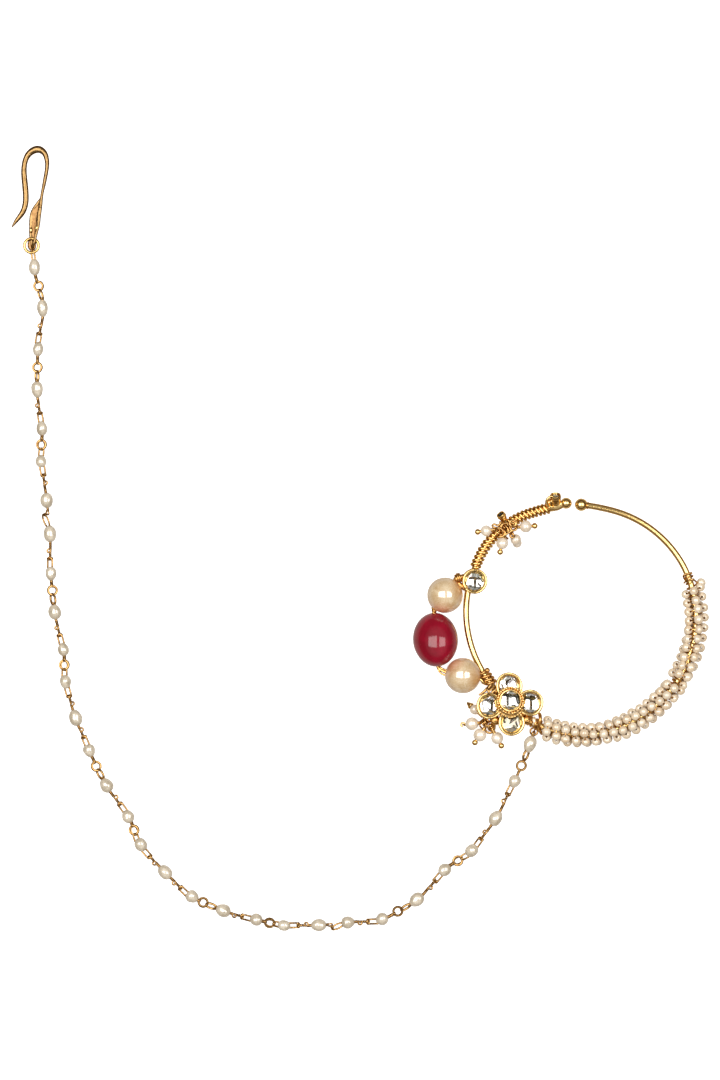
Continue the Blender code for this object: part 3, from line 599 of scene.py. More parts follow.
# painted shade: a near-black stone for the side cup's dark opening; without a shade attribute its colour falls to the
# darkest end of the ramp
SHADED_OPENING_STONE = stone("stone_painted_shade", tint=(0.10, 0.075, 0.05))
CLEAR_WARM = stone("clear_stone_warm", tint=(0.74, 0.66, 0.49), rough=(0.12, 0.20))
GOLD_STONE = stone("clear_stone_gold", tint=(0.80, 0.60, 0.30), rough=(0.12, 0.22))


# ------------------------------------------------------------ the hoop
def make_hoop():
    s = Shape()
    rows = []
    for k in range(421):
        deg = 89.0 - (89.0 + 261.6) * k / 420
        flat = max(0.0, min(1.0, (-deg - 253.0) / 3.0)) * max(0.0, min(1.0, (deg + 262.0) / 3.0))
        rows.append((*hoop_at(deg), WIRE_R + 0.24 * flat, WIRE_R - 0.08 * flat))
    sweep(s, rows, 20)
    ends = Shape()
    ball(ends, hoop_at(90.1), 1.22, hoop_frame(90.1)[0], 32)
    ball(ends, hoop_at(-262.6), 1.08, hoop_frame(-262.6)[0], 32)
    piece("hoop_end_balls", ends, "hoop_wire", "gold", GOLD_BALL, replaces=False)
    solder = Shape()
    sweep(solder, [(*hoop_at(deg, 0.05, 0.16), 0.60 + 0.34 * math.sin(math.pi * k / 16), 0.56)
                   for k, deg in enumerate(np.linspace(-254.6, -261.2, 17))], 20, level=True)
    ball(solder, (*at(549.6, 502.4), 3.05), 0.72, UP, 20)
    piece("hoop_solder", solder, "hoop_wire", "gold", GOLD_SATIN, replaces=False)
    ring(s, hoop_at(86.9), hoop_frame(86.9)[0], 0.62, 0.12, 32, 8)
    aim = unit((-0.045, 0.84, 0.54))
    seat = hoop_at(-257.4) + aim * 0.35
    cup = [(0.0001, 0.0), (0.55, 0.0), (0.80, 0.10), (0.93, 0.45), (0.99, 1.0), (1.02, 1.6), (1.05, 1.95),
           (1.045, 2.10), (1.00, 2.19), (0.92, 2.22), (0.85, 2.18), (0.80, 2.05), (0.79, 1.62), (0.0001, 1.60)]
    lathe(s, cup, seat, aim, 40)
    ring(s, seat + aim * 1.70, aim, 1.02, 0.075, 40, 8)
    # small loop of wire left of the cup
    x, y = at(549.2, 500.8)
    path = [(*at(552.6, 507.0), 3.2), (*at(547.4, 505.6), 3.6), (*at(546.3, 501.5), 3.9), (*at(548.2, 498.0), 4.1),
            (*at(551.8, 496.6), 4.1), (*at(553.0, 499.4), 3.9), (*at(550.4, 502.4), 3.7), (*at(551.4, 505.6), 3.3)]
    sweep(s, [(*r[:3], 0.25) for r in smooth_rows(path, 0.14)], 12)
    piece("hoop_wire_v", s, "hoop_wire", "gold", GOLD)

    s = Shape()
    top = [(0.0001, 0.42), (0.36, 0.42), (0.60, 0.34), (0.74, 0.20), (0.74, 0.02), (0.0001, 0.02)]
    lathe(s, top, seat + aim * 1.64, aim, 10)
    s.shade = np.ones(s.count)
    piece("end_stone_v", s, "end_stone", "clear_stone", GOLD_STONE, flat=True)


def make_coil():
    s = Shape()
    rows = wound(-206.6, -254.0, 24.0, WIRE_R + 0.205, 0.305, 28, 90.0, 1, lean=0.24, uneven=0.035, seed=5, square=0.74, roll=7.0)
    sweep(s, rows, 10)
    piece("coil_wrap_v", s, "coil_wrap", "gold", GOLD_WIRE)


# ------------------------------------------------------------ the sleeve of seed pearls
SLEEVE_RHO = 1.62


def sleeve_point(deg, psi, rho=SLEEVE_RHO):
    _, out = hoop_frame(deg)
    w = math.radians(psi)
    return hoop_at(deg) + out * (rho * math.sin(w)) + UP * (rho * math.cos(w))


def make_sleeve():
    beads, wire = Shape(), Shape()
    start, stop, pitch = -112.4, 16.6, 1.80
    length = abs(math.radians(stop - start)) * 21.62
    turns = length / pitch
    drift = cubic([0.0, 0.5, 0.73, 1.0], [[120.0], [50.0], [-4.0], [-36.0]])
    path, spots = [], []
    total = 0.72
    while total < turns * 0.60:
        spots.append((total, 360.0 * total))
        total += 0.1700
    turn = math.ceil(total)
    base = total * 360.0
    while turn < turns:
        for j in range(5):
            spots.append((turn - 0.36 + (38.5 + j * 70.8) / 360.0,
                          float(drift(turn / turns)[0]) + 38.5 + j * 70.8 + 360.0 * turn))
        turn += 1
    spots = [s for s in spots if s[0] <= turns]
    for index, (total, psi) in enumerate(spots):
        deg = start + (stop - start) * total / turns
        psi += RNG.normal(0, 2.5)
        place = sleeve_point(deg, psi, SLEEVE_RHO + RNG.normal(0, 0.015))
        along, out = hoop_frame(deg)
        w = math.radians(psi)
        axis = out * math.cos(w) - UP * math.sin(w) + along * (0.17 + RNG.normal(0, 0.08)) + UP * RNG.normal(0, 0.10)
        size = RNG.normal(0.855, 0.025)
        place = place + along * RNG.normal(0, 0.06)
        place[2] = max(place[2], size + 0.03)
        bead(beads, place, axis, size * 0.97, size * 1.0, 0.30, 18, 12, 0.05, int(RNG.integers(1, 9999)))
        path.append((deg, psi, SLEEVE_RHO))
        if index + 1 < len(spots) and spots[index + 1][1] - psi > 90:
            for f in (0.33, 0.67):
                path.append((deg + (stop - start) / turns * 0.2 * f, psi + (spots[index + 1][1] - psi) * f, 1.02))
    turn_rows = []
    for k in range(len(path) - 1):
        a, b = path[k], path[k + 1]
        for f in np.linspace(0, 1, 6)[:-1]:
            turn_rows.append((*sleeve_point(a[0] + (b[0] - a[0]) * f, a[1] + (b[1] - a[1]) * f,
                                            a[2] + (b[2] - a[2]) * f), 0.13))
    sweep(wire, turn_rows, 8)
    # the wire's own core: a loose inner winding that shows as gold between the pearls
    sweep(wire, wound(-112.6, 17.8, 66.0, WIRE_R + 0.36, 0.17, 12, 20.0, 1, seed=3), 7)
    x, y = at(701.4, 582.4)
    bead(beads, (x, y, 2.55), (0.7, 0.7, 0.2), 0.80, 0.86, 0.23, 18, 12, 0.05, 77)
    piece("sleeve_pearls", beads, "pearl_sleeve", "cream_pearl", PEARL_SEED)
    piece("sleeve_winding", wire, "pearl_sleeve", "gold", GOLD_DEEP)


def make_bindings():
    s = Shape()
    sweep(s, wound(-119.2, -113.6, 3.3, WIRE_R + 0.22, 0.27, 24, 90.0, 1, lean=0.22, uneven=0.03, seed=8), 12)
    path = [(*at(539.6, 714.2), 3.1), (*at(540.2, 718.6), 3.9), (*at(539.0, 724.0), 3.7), (*at(539.4, 729.5), 2.7),
            (*at(541.8, 733.5), 1.9)]
    sweep(s, [(*r[:3], 0.33) for r in smooth_rows(path, 0.14)], 12)
    piece("sleeve_start_wrap_v", s, "sleeve_start_wrap", "gold", GOLD_SATIN_DEEP)
    s = Shape()
    x, y = at(533.6, 721.3)
    bead(s, (x, y, 3.15), (0.10, 1.0, 0.10), 0.85, 0.54, 0.18, 22, 16, 0.04, 12)
    piece("start_small_pearl", s, "sleeve_start_wrap", "cream_pearl", PEARL_BIG, replaces=False)

    s = Shape()
    sweep(s, wound(19.2, 24.2, 3.4, WIRE_R + 0.22, 0.18, 24, 90.0, 1, lean=0.10, uneven=0.05, seed=9), 10)
    path = [(*at(684.0, 583.0), 3.4), (*at(688.5, 579.5), 4.3), (*at(694.5, 580.5), 4.0), (*at(697.4, 584.5), 3.0)]
    sweep(s, [(*r[:3], 0.16) for r in smooth_rows(path, 0.14)], 10)
    path = [(*at(690.0, 583.5), 2.2), (*at(684.4, 579.0), 3.2), (*at(683.6, 575.5), 3.7), (*at(687.2, 573.6), 3.8),
            (*at(690.6, 573.2), 3.6)]
    sweep(s, [(*r[:3], 0.17) for r in smooth_rows(path, 0.14)], 10)
    ball(s, (*at(691.0, 573.2), 3.6), 0.27)
    piece("sleeve_end_wrap_v", s, "sleeve_end_wrap", "gold", GOLD_DEEP)


# ------------------------------------------------------------ settings and stones
def rim_profile(outer, inner, height, floor, foot=0.0):
    return [(0.0001, foot), (outer * 0.80, foot), (outer * 0.95, foot + 0.05), (outer, foot + 0.22),
            (outer * 0.995, height * 0.55), (outer, height - 0.30), (outer - 0.02, height - 0.14),
            (outer - 0.09, height - 0.04), (outer - 0.19, height), (outer - 0.30, height - 0.03),
            (inner + 0.12, height - 0.10), (inner + 0.03, height - 0.20), (inner, height - 0.34),
            (inner, floor), (0.0001, floor)]


def hand_made(amount, seed):
    p = np.random.default_rng(seed).uniform(0, 6.28, 4)

    def warp(points):
        turn = np.arctan2(points[:, 1], points[:, 0])
        f = np.sin(3 * turn + p[0]) + 0.6 * np.sin(5 * turn + p[1]) + 0.4 * np.sin(9 * turn + p[2])
        out = points.copy()
        out[:, :2] *= (1 + amount * f * 0.5)[:, None]
        out[:, 2] += np.where(points[:, 2] > 0.3, 0.02 * np.sin(4 * turn + p[3]), 0.0)
        return out
    return warp


def cut_stone(s, centre, radius, base, height, planes, grooves, rings=30, around=84, pale=False):
    """Cut top as a height field: the lowest of some sloping planes, less narrow grooves."""
    rr = np.linspace(0, 1, rings) ** 0.9 * radius
    aa = 2 * np.pi * np.arange(around) / around
    x = rr[:, None] * np.cos(aa)
    y = rr[:, None] * np.sin(aa)
    z = np.full_like(x, 99.0)
    shade = np.ones_like(x)
    for slope, bearing, offset in planes:
        t, b = math.tan(math.radians(slope)), math.radians(bearing)
        z = np.minimum(z, height + offset - t * (x * math.cos(b) + y * math.sin(b)))
    for x0, y0, x1, y1, width, depth in grooves:
        width = 1.60 * width
        a, b = np.array([x0, y0]), np.array([x1, y1])
        d = b - a
        f = np.clip(((x - x0) * d[0] + (y - y0) * d[1]) / np.dot(d, d), 0, 1)
        away = np.hypot(x - x0 - f * d[0], y - y0 - f * d[1])
        z = z + 0.8 * depth * np.clip(1 - away / width, 0, 1)
        # painted shade: each band darkens the shade attribute, most for the deeper ones
        painted_band_shade = 0.10 if depth >= 0.21 else 0.34
        shade = np.minimum(shade, np.clip((away / width - 0.80) / 0.7, painted_band_shade, 1))
    rim = np.hypot(x, y) / radius
    # painted shade: mottled dark patches over the lower part of the stone and a darker rim
    painted_shade_mottle = 0.5 + 0.5 * np.sin(4.1 * x + 1.7 * y + centre[0]) * np.sin(5.3 * y - 2.2 * x + centre[1])
    low = -y / radius > 0.46 + 0.10 * np.sin(3.1 * x)
    painted_shade_patch = np.where(painted_shade_mottle > 0.58, 1.0, np.where(painted_shade_mottle > 0.42, 0.72, np.where(painted_shade_mottle > 0.26, 0.45, 0.18)))
    shade = np.where(low, np.minimum(shade, painted_shade_patch), shade)
    shade = np.where(rim > 0.90, np.minimum(shade, np.where(painted_shade_mottle > 0.5, 0.50, 0.20)), shade)
    # painted light: on the pale stone the lower part and the rim are made light and the upper part dark, offsetting
    # its reflections
    if pale:
        shade = np.where(low | (rim > 0.88), 0.72 + 0.28 * shade, 0.22 + 0.12 * shade)
    z = np.maximum(z, 0.25)
    points = np.stack([x, y, z], -1)
    skirt = points[-1].copy()
    skirt[:, 2] = 0.0
    points = np.vstack([points.reshape(-1, 3), skirt])
    points = np.vstack([points, [0.0, 0.0, 0.0]])
    n = rings + 1
    quads = grid_quads(n, around, False)
    k = np.arange(around)
    tris = np.stack([np.full(around, n * around), (n - 1) * around + k, (n - 1) * around + (k + 1) % around], -1)
    s.put(points + np.array([centre[0], centre[1], base]), quads, tris)
    s.shade = np.concatenate([shade.ravel(), shade[-1], [1.0]])


def facets(seed, left=-6.0, right=9.0):
    """Two large bright faces, a band above, small broken faces below and a dark crown."""
    r = np.random.default_rng(seed)
    planes = [(abs(left), 180.0, 0.0), (right, 0.0, 0.02), (9.0, 90.0, 0.05)]
    for bearing in np.arange(8, 360, 36) + r.uniform(-6, 6, 10):
        low = 200 < bearing % 360 < 340
        slope = r.uniform(11, 17) if low else r.uniform(14, 24)
        planes.append((slope, bearing, (0.24 if low else 0.36) + r.uniform(-0.03, 0.05)))
    return planes


STONE_CUTS = {
    # bar and stem of the dark bands, shaped into the top and darkened with painted shade: x0, y0, x1, y1, half width,
    # depth
    "stone_centre": [(-1.15, 1.06, 1.15, 0.86, 0.17, 0.22), (-0.55, 1.05, -0.55, -0.75, 0.15, 0.20),
                     (1.25, 0.9, 1.55, -0.3, 0.26, 0.24),
                     (-0.1, -1.15, 0.75, -1.05, 0.16, 0.16), (-1.2, -0.9, -0.6, -1.3, 0.10, 0.12)],
    "stone_top": [(0.20, 1.25, -0.45, 0.80, 0.10, 0.22), (-0.45, 0.80, -0.50, 0.35, 0.15, 0.22),
                  (-0.50, 0.35, -0.30, -0.20, 0.09, 0.16), (0.55, 1.25, 1.25, 0.75, 0.07, 0.10),
                  (-1.4, 0.2, -1.1, -0.5, 0.10, 0.14)],
    "stone_right": [(-1.55, 1.00, 0.85, 0.88, 0.16, 0.22), (0.20, 0.95, 0.14, -1.1, 0.15, 0.20),
                    (0.15, 0.98, 0.55, 0.92, 0.26, 0.24),
                    (-1.2, -1.0, -0.9, -1.3, 0.20, 0.16), (-1.65, 0.7, -1.7, -0.6, 0.16, 0.2)],
    "stone_bottom": [(-0.1, 0.25, 0.25, 0.65, 0.12, 0.14), (-0.3, -0.1, 0.9, 0.8, 0.07, 0.08),
                     (0.8, 0.2, 1.1, -0.8, 0.10, 0.10), (-1.2, 1.2, -1.3, 0.2, 0.16, 0.18),
                     (0.4, -0.6, 1.0, -1.1, 0.12, 0.10)],
    "stone_left": [(-0.60, 1.10, 0.75, 0.90, 0.13, 0.20), (0.48, 0.85, 0.36, -0.85, 0.15, 0.22),
                   (0.0, -0.9, 0.9, -1.3, 0.14, 0.16), (-0.5, -0.2, 0.2, -0.9, 0.06, 0.06),
                   (-1.4, 0.9, -1.1, -0.9, 0.07, 0.08)],
    "round_stone": [(-0.9, 0.55, 1.0, 0.45, 0.14, 0.20), (0.1, 0.50, 0.02, -0.95, 0.14, 0.20),
                    (0.7, -0.5, 1.1, -0.9, 0.12, 0.12), (-1.0, -0.8, -0.3, -1.1, 0.10, 0.10),
                    (1.1, 0.9, 1.5, 0.0, 0.16, 0.18)],
}


def make_stone(name, x, y, radius, base, height, seed, left=-6.0, right=9.0, look=None):
    s = Shape()
    # the bottom stone takes the pale painted light
    cut_stone(s, (x, y), radius, base, height, facets(seed, left, right), STONE_CUTS[name],
              pale=name == "stone_bottom")
    piece(name + "_v", s, name, "clear_stone", look or CLEAR, flat=True)


def make_round_bezel():
    s = Shape()
    x, y = ROUND_X, ROUND_Y
    lathe(s, rim_profile(2.42, 1.86, 1.95, 0.66), (x, y, SEAT_Z), UP, 64, warp=hand_made(0.012, 3))
    a = np.linspace(math.radians(75), math.radians(215), 26)
    sweep(s, [(x + 2.12 * math.cos(t), y + 2.12 * math.sin(t), SEAT_Z + 1.88, 0.26) for t in a], 12)
    along, _ = hoop_frame(-200.5)
    ring(s, hoop_at(-200.5), along, 0.98, 0.22, 32, 10)
    piece("round_bezel_v", s, "round_bezel", "gold", GOLD)
    # ribbed lug between the setting and the pearl wire
    s = Shape()
    for px, py, r in ((456.3, 578.8, 0.66), (458.1, 578.0, 0.78), (459.9, 577.4, 0.72)):
        ring(s, (*at(px, py), 4.15), (0.94, 0.30, 0.0), r, 0.22, 30, 12)
    sweep(s, [(*at(455.8, 578.9), 4.15, 0.50), (*at(463.5, 576.4), 4.15, 0.50)], 18)
    sweep(s, [(*at(458.8, 583.4), 4.05, 0.42), (*at(461.6, 586.2), 4.0, 0.52), (*at(465.0, 588.4), 3.95, 0.50)], 18)
    piece("round_bezel_lug", s, "round_bezel", "gold", GOLD_SATIN_DEEP, replaces=False)
    make_stone("round_stone", x, y, 1.87, SEAT_Z + 0.70, 1.02, 21)


def make_side_bezel():
    s = Shape()
    deg = -232.6
    along, out = hoop_frame(deg)
    ring(s, hoop_at(deg), along, 1.44, 0.20, 36, 10)
    seat = hoop_at(deg) + out * 1.16 + UP * 0.16
    out = unit(out + UP * 0.64)
    cup = [(0.0001, 0.0), (0.45, 0.0), (0.62, 0.12), (0.74, 0.5), (0.80, 0.95), (0.85, 1.30), (0.845, 1.44),
           (0.80, 1.53), (0.73, 1.55), (0.66, 1.52), (0.62, 1.42), (0.61, 1.06), (0.0001, 1.05)]
    lathe(s, cup, seat, out, 36)
    ring(s, seat + out * 0.95, out, 0.82, 0.07, 36, 8)
    piece("side_bezel_v", s, "side_bezel", "gold", GOLD)
    s = Shape()
    lathe(s, [(0.0001, 0.38), (0.28, 0.38), (0.46, 0.30), (0.58, 0.16), (0.58, 0.0), (0.0001, 0.0)],
          seat + out * 1.08, out, 9)
    # the side stone is painted shade, near black
    piece("side_stone_v", s, "side_stone", "clear_stone", SHADED_OPENING_STONE, flat=True)


def make_flower():
    s = Shape()
    for index, (_, x, y) in enumerate(PETALS):
        lathe(s, rim_profile(2.53, 1.90, 1.55, 0.36), (x, y, SEAT_Z), UP, 64, warp=hand_made(0.014, 30 + index))
    collar, setting = Shape(), s
    s = collar
    low, top = SEAT_Z + 1.42, SEAT_Z + 3.05
    height = top - low
    hub = [(0.0001, 0.0), (2.20, 0.0), (2.50, 0.08), (2.58, 0.30), (2.56, 0.75), (2.50, height - 0.52),
           (2.40, height - 0.50), (2.24, height - 0.46), (2.16, height - 0.36), (2.12, height - 0.10),
           (2.05, height - 0.01), (1.94, height), (1.87, height - 0.07), (1.84, height - 0.30),
           (1.84, 0.42), (0.0001, 0.42)]
    lift = 0.34
    lathe(s, hub, (FLOWER_X, FLOWER_Y + lift, low), UP, 72, warp=hand_made(0.006, 40))
    lathe(s, [(0.0001, 0.0), (2.42, 0.0), (2.52, 0.12), (2.52, 0.50), (2.42, 0.64), (2.20, 0.70), (0.0001, 0.72)],
          (FLOWER_X + 0.02, FLOWER_Y - 0.46, SEAT_Z + 1.45), UP, 48, warp=hand_made(0.02, 41))
    lathe(s, [(0.0001, 0.0), (2.46, 0.0), (2.50, 0.12), (2.44, 0.42), (2.24, 0.58), (0.0001, 0.60)],
          (FLOWER_X + 0.01, FLOWER_Y - 0.10, SEAT_Z + 1.95), UP, 48, warp=hand_made(0.02, 42))
    for deg in range(205, 340, 11):
        a = math.radians(deg + 3 * math.sin(deg))
        ball(s, (FLOWER_X + 0.02 + 2.40 * math.cos(a), FLOWER_Y - 0.46 + 2.40 * math.sin(a), SEAT_Z + 1.98), 0.25, UP, 14)
    for k in range(26):
        a = 2 * math.pi * (k + 0.1 * math.sin(2.3 * k)) / 26
        ball(s, (FLOWER_X + 2.43 * math.cos(a), FLOWER_Y + lift + 2.43 * math.sin(a), top - 0.36), 0.285, UP, 16)
    piece("flower_collar", s, "flower_setting", "gold", GOLD_SATIN, replaces=False)
    s = setting
    lathe(s, [(0.0001, 0.0), (3.1, 0.0), (3.2, 0.06), (3.2, 0.28), (3.1, 0.34), (0.0001, 0.34)],
          (FLOWER_X, FLOWER_Y, SEAT_Z + 0.01), UP, 48)
    for deg in (-140.6, -119.6):
        along, _ = hoop_frame(deg)
        ring(s, hoop_at(deg), along, 0.98, 0.21, 32, 10)
    x, y, z, radius, _ = DROP_RINGS["lower"]
    way = unit((25.95 - x, -34.25 - y, 0))
    ring(s, np.array([x, y, z + 0.30]) + way * radius, np.cross(way, UP), 0.75, 0.17, 32, 10)
    piece("flower_setting_v", s, "flower_setting", "gold", GOLD)
    s = Shape()
    for px, py, radius, height, way in ((495.4, 719.4, 0.92, 1.30, (-0.30, -0.42, 1.0)),
                                        (525.6, 718.8, 0.92, 1.30, (0.34, -0.40, 1.0)),
                                        (529.4, 721.0, 0.62, 0.80, (0.30, -0.50, 1.0)),
                                        (496.4, 691.4, 0.72, 1.00, (-0.30, 0.40, 1.0))):
        x, y = at(px, py)
        lathe(s, [(0.0001, 0.0), (radius, 0.0), (radius, height * 0.50), (radius * 0.80, height * 0.78),
                  (radius * 0.45, height * 0.95), (radius * 0.16, height), (0.0001, height * 1.01)],
              (x, y, SEAT_Z + 0.05), unit(way), 24, warp=hand_made(0.06, int(px)))
    for px, py, z in ((500.2, 715.9, 1.5), (521.8, 716.2, 1.5)):
        ball(s, (*at(px, py), SEAT_Z + z), 0.24, UP, 14)
    piece("flower_lugs", s, "flower_setting", "gold", GOLD_SATIN_DEEP, replaces=False)
    for index, (name, x, y) in enumerate(PETALS):
        make_stone(name, x, y, 1.90, SEAT_Z + 0.38, 0.90, 50 + index, look=CLEAR_WARM if name == "stone_bottom" else None)
    make_stone("stone_centre", FLOWER_X, FLOWER_Y + lift, 1.83, low + 0.44, 1.02, 60)


# ------------------------------------------------------------ the large beads and their wire
def make_big_beads():
    for index, (name, centre, half, radius, aim) in enumerate(BIG_BEADS):
        s = Shape()
        bead(s, centre, aim, half, radius, 0.42, 96, 64, 0.006 if index == 1 else 0.010, 100 + index)
        if name == "ruby_bead":
            body = s.points[-1]
            off = body - np.array(centre)
            body[:, 2] = centre[2] + 0.985 * off[:, 2] + 0.063 * off[:, 0] - 0.115 * off[:, 1]
        kind = ("ruby", RUBY) if name == "ruby_bead" else ("champagne_pearl", PEARL_BIG)
        piece(name + "_v", s, name, *kind)
    s = Shape()
    rows = [(18.50, -7.92, 4.15, BEAD_WIRE)]
    for _, centre, half, _, aim in BIG_BEADS:
        centre, aim = np.array(centre), unit(aim)
        for share in (-1.0, -0.5, 0.0, 0.5, 1.0):
            rows.append((*(centre + aim * (half * share)), BEAD_WIRE))
    rows.append((23.60, -27.32, 4.02, 0.27))
    knot = []
    for k in range(157):
        share = k / 156
        deg, w = -145.6 - 6.4 * share, math.radians(90.0 + 1080.0 * share)
        along, out = hoop_frame(deg)
        c, h = (math.copysign(abs(f) ** 0.66, f) for f in (math.cos(w), math.sin(w)))
        c, h = c * 0.98 + h * 0.19, h * 0.98 - c * 0.19
        knot.append((*(hoop_at(deg) + out * (1.00 * c) + UP * (0.96 * h) - along * (0.34 * c)), 0.31))
    line = [tuple(r) for r in smooth_rows(rows + [knot[0], knot[4], knot[8]], 0.35)]
    last = np.array(knot[-1][:3])
    sweep(s, line, 14)
    # twist above the ruby, and the returning wire below it
    a, b = np.array([*at(433.6, 607.6), 4.2]), np.array([*at(434.4, 613.8), 4.2])
    sweep(s, helix_rows(a, b, 2.4, 0.34, 0.15, 18), 10)
    sweep(s, helix_rows(b, a, 2.2, 0.30, 0.13, 18, phase=1.6, hand=-1), 10)
    path = [(*at(438.0, 663.6), 4.2), (*at(439.6, 666.6), 4.7), (*at(442.8, 668.9), 4.9), (*at(446.4, 670.4), 4.8),
            (*at(447.8, 673.2), 4.4)]
    sweep(s, [(*r[:3], 0.20) for r in smooth_rows(path, 0.16)], 12)
    path = [(*at(436.2, 664.2), 3.7), (*at(438.2, 669.4), 3.9), (*at(441.6, 673.6), 4.0), (*at(445.6, 675.4), 4.1)]
    sweep(s, [(*r[:3], 0.18) for r in smooth_rows(path, 0.16)], 12)
    piece("bead_wire_v", s, "bead_wire", "gold", GOLD_WIRE)
    s = Shape()
    sweep(s, knot + [(*(last + np.array([0.42, 0.30, 0.02])), 0.31)], 14)
    ball(s, (*at(487.2, 670.2), 3.95), 0.50, UP, 20)
    piece("bead_wire_knot", s, "bead_wire", "gold", GOLD_SATIN_DEEP, replaces=False)
    # leaf ends of the knot, between the pearl and the flower
    s = Shape()
    for rows in ([(*at(491.0, 684.0), 4.3), (*at(487.5, 688.0), 4.6), (*at(483.5, 691.8), 4.7), (*at(479.2, 694.6), 4.6)],
                 [(*at(493.5, 683.0), 4.2), (*at(492.0, 687.5), 4.6), (*at(488.6, 691.6), 4.9), (*at(489.8, 694.4), 4.8)],
                 [(*at(497.5, 684.5), 4.0), (*at(495.5, 688.5), 4.5), (*at(492.6, 691.5), 4.7), (*at(490.5, 695.0), 4.6)]):
        line = smooth_rows(rows, 0.14)
        f = np.linspace(0, 1, len(line))
        sweep(s, [(*r[:3], 0.10 + 0.20 * math.sin(math.pi * (0.25 + 0.65 * t)), 0.14) for r, t in zip(line, f)], 12)
    path = [(*at(489.0, 686.0), 4.3), (*at(487.2, 689.0), 4.7), (*at(488.6, 692.0), 4.8), (*at(486.0, 695.2), 4.5)]
    sweep(s, [(*r[:3], 0.22) for r in smooth_rows(path, 0.14)], 12)
    piece("bead_wire_ends", s, "bead_wire", "gold", GOLD_LINK, replaces=False)


# ------------------------------------------------------------ small drops
def make_drop(name, ring_name, tip, radius, kind, index):
    x, y, z, ring_r, _ = DROP_RINGS[ring_name]
    hub, tip = np.array([x, y, z]), np.array(tip)
    out = unit((tip[0] - x, tip[1] - y, 0))
    eye = hub + out * ring_r
    aim = unit(tip - eye)
    centre = tip - aim * (radius + PIN_BALL + 0.04)
    s = Shape()
    bead(s, centre, aim, radius * 1.02, radius, 0.22, 40, 28, 0.030, 200 + index, egg=0.04)
    piece("drop_pearl_%s_v" % name, s, "drop_pearl_" + name, "cream_pearl", PEARL_DROP)
    s = Shape()
    start = eye + aim * (PIN_EYE + 0.16)
    loop = []
    for deg in range(-22, -300, -14):
        turn = math.radians(deg)
        loop.append((*(eye + out * (PIN_EYE * math.cos(turn)) + UP * (PIN_EYE * math.sin(turn))), PIN_R))
    stem = [(*(tip - aim * f), PIN_R) for f in np.linspace(0.0, float(np.linalg.norm(tip - start)), 6)]
    sweep(s, stem + loop, 10)
    near = centre - aim * radius * 0.96
    reach = max(0.25, float(np.linalg.norm(near - start)) * 0.9)
    sweep(s, helix_rows(near, near - aim * reach, 1.2 + 2.6 * reach, PIN_R + 0.12, 0.115, 16, grow=-0.1), 9)
    if kind == "ball":
        ball(s, tip, PIN_BALL, aim, 24, 1.0)
        lathe(s, [(0.0001, -0.70), (0.26, -0.70), (0.34, -0.62), (0.26, -0.50), (0.0001, -0.50)], tip, aim, 20)
    elif kind == "cone":
        lathe(s, [(0.0001, -0.62), (0.62, -0.58), (0.66, -0.46), (0.46, -0.10), (0.28, 0.30), (0.12, 0.56),
                  (0.0001, 0.60)], tip, aim, 24)
    else:
        side = unit(np.cross(aim, UP))
        rows = []
        for deg in range(-60, 215, 12):
            t = math.radians(deg)
            rows.append((*(tip + aim * (0.38 * math.cos(t)) + side * (0.40 * math.sin(t))), 0.17))
        sweep(s, rows, 12)
        sweep(s, [(*(centre + aim * radius * 0.98), 0.26), (*(centre + aim * (radius + 0.22)), 0.22)], 12)
    piece("drop_pin_%s_v" % name, s, "drop_pin_" + name, "gold", GOLD)


def make_double_drop():
    x, y, z, ring_r, _ = DROP_RINGS["upper"]
    out = unit((0.86, -0.51, 0.0))
    eye = np.array([x, y, z]) + out * ring_r
    high, low = np.array([29.70, -0.10, 2.90]), np.array([29.99, -0.76, 1.34])
    aim = unit(low - high)
    for name, centre, radius, way in (("u4", high, 1.00, unit(unit(high - eye) + aim)), ("u5", low, 0.88, aim)):
        s = Shape()
        bead(s, centre, way, radius, radius, 0.22, 36, 24, 0.03, 300 + int(radius * 100))
        piece("drop_pearl_%s_v" % name, s, "drop_pearl_" + name, "cream_pearl", PEARL_DROP)
    s = Shape()
    loop = []
    for deg in range(-300, -21, 14):
        t = math.radians(deg)
        loop.append((*(eye + out * (PIN_EYE * math.cos(t)) + UP * (PIN_EYE * math.sin(t))), PIN_R))
    way = unit(high - eye)
    path = smooth_rows([(*(eye + way * 0.62), PIN_R), (*(high - way * 0.5), PIN_R), (*high, PIN_R),
                        (*low, PIN_R), (*(low + aim * 0.86), PIN_R)], 0.2)
    sweep(s, loop + [tuple(r) for r in path], 10)
    ball(s, low + aim * 0.98, 0.30, aim, 18)
    sweep(s, helix_rows(eye + way * 0.50, eye + way * 0.95, 2.2, 0.26, 0.115, 16), 9)
    piece("drop_pin_u4_v", s, "drop_pin_u4", "gold", GOLD)


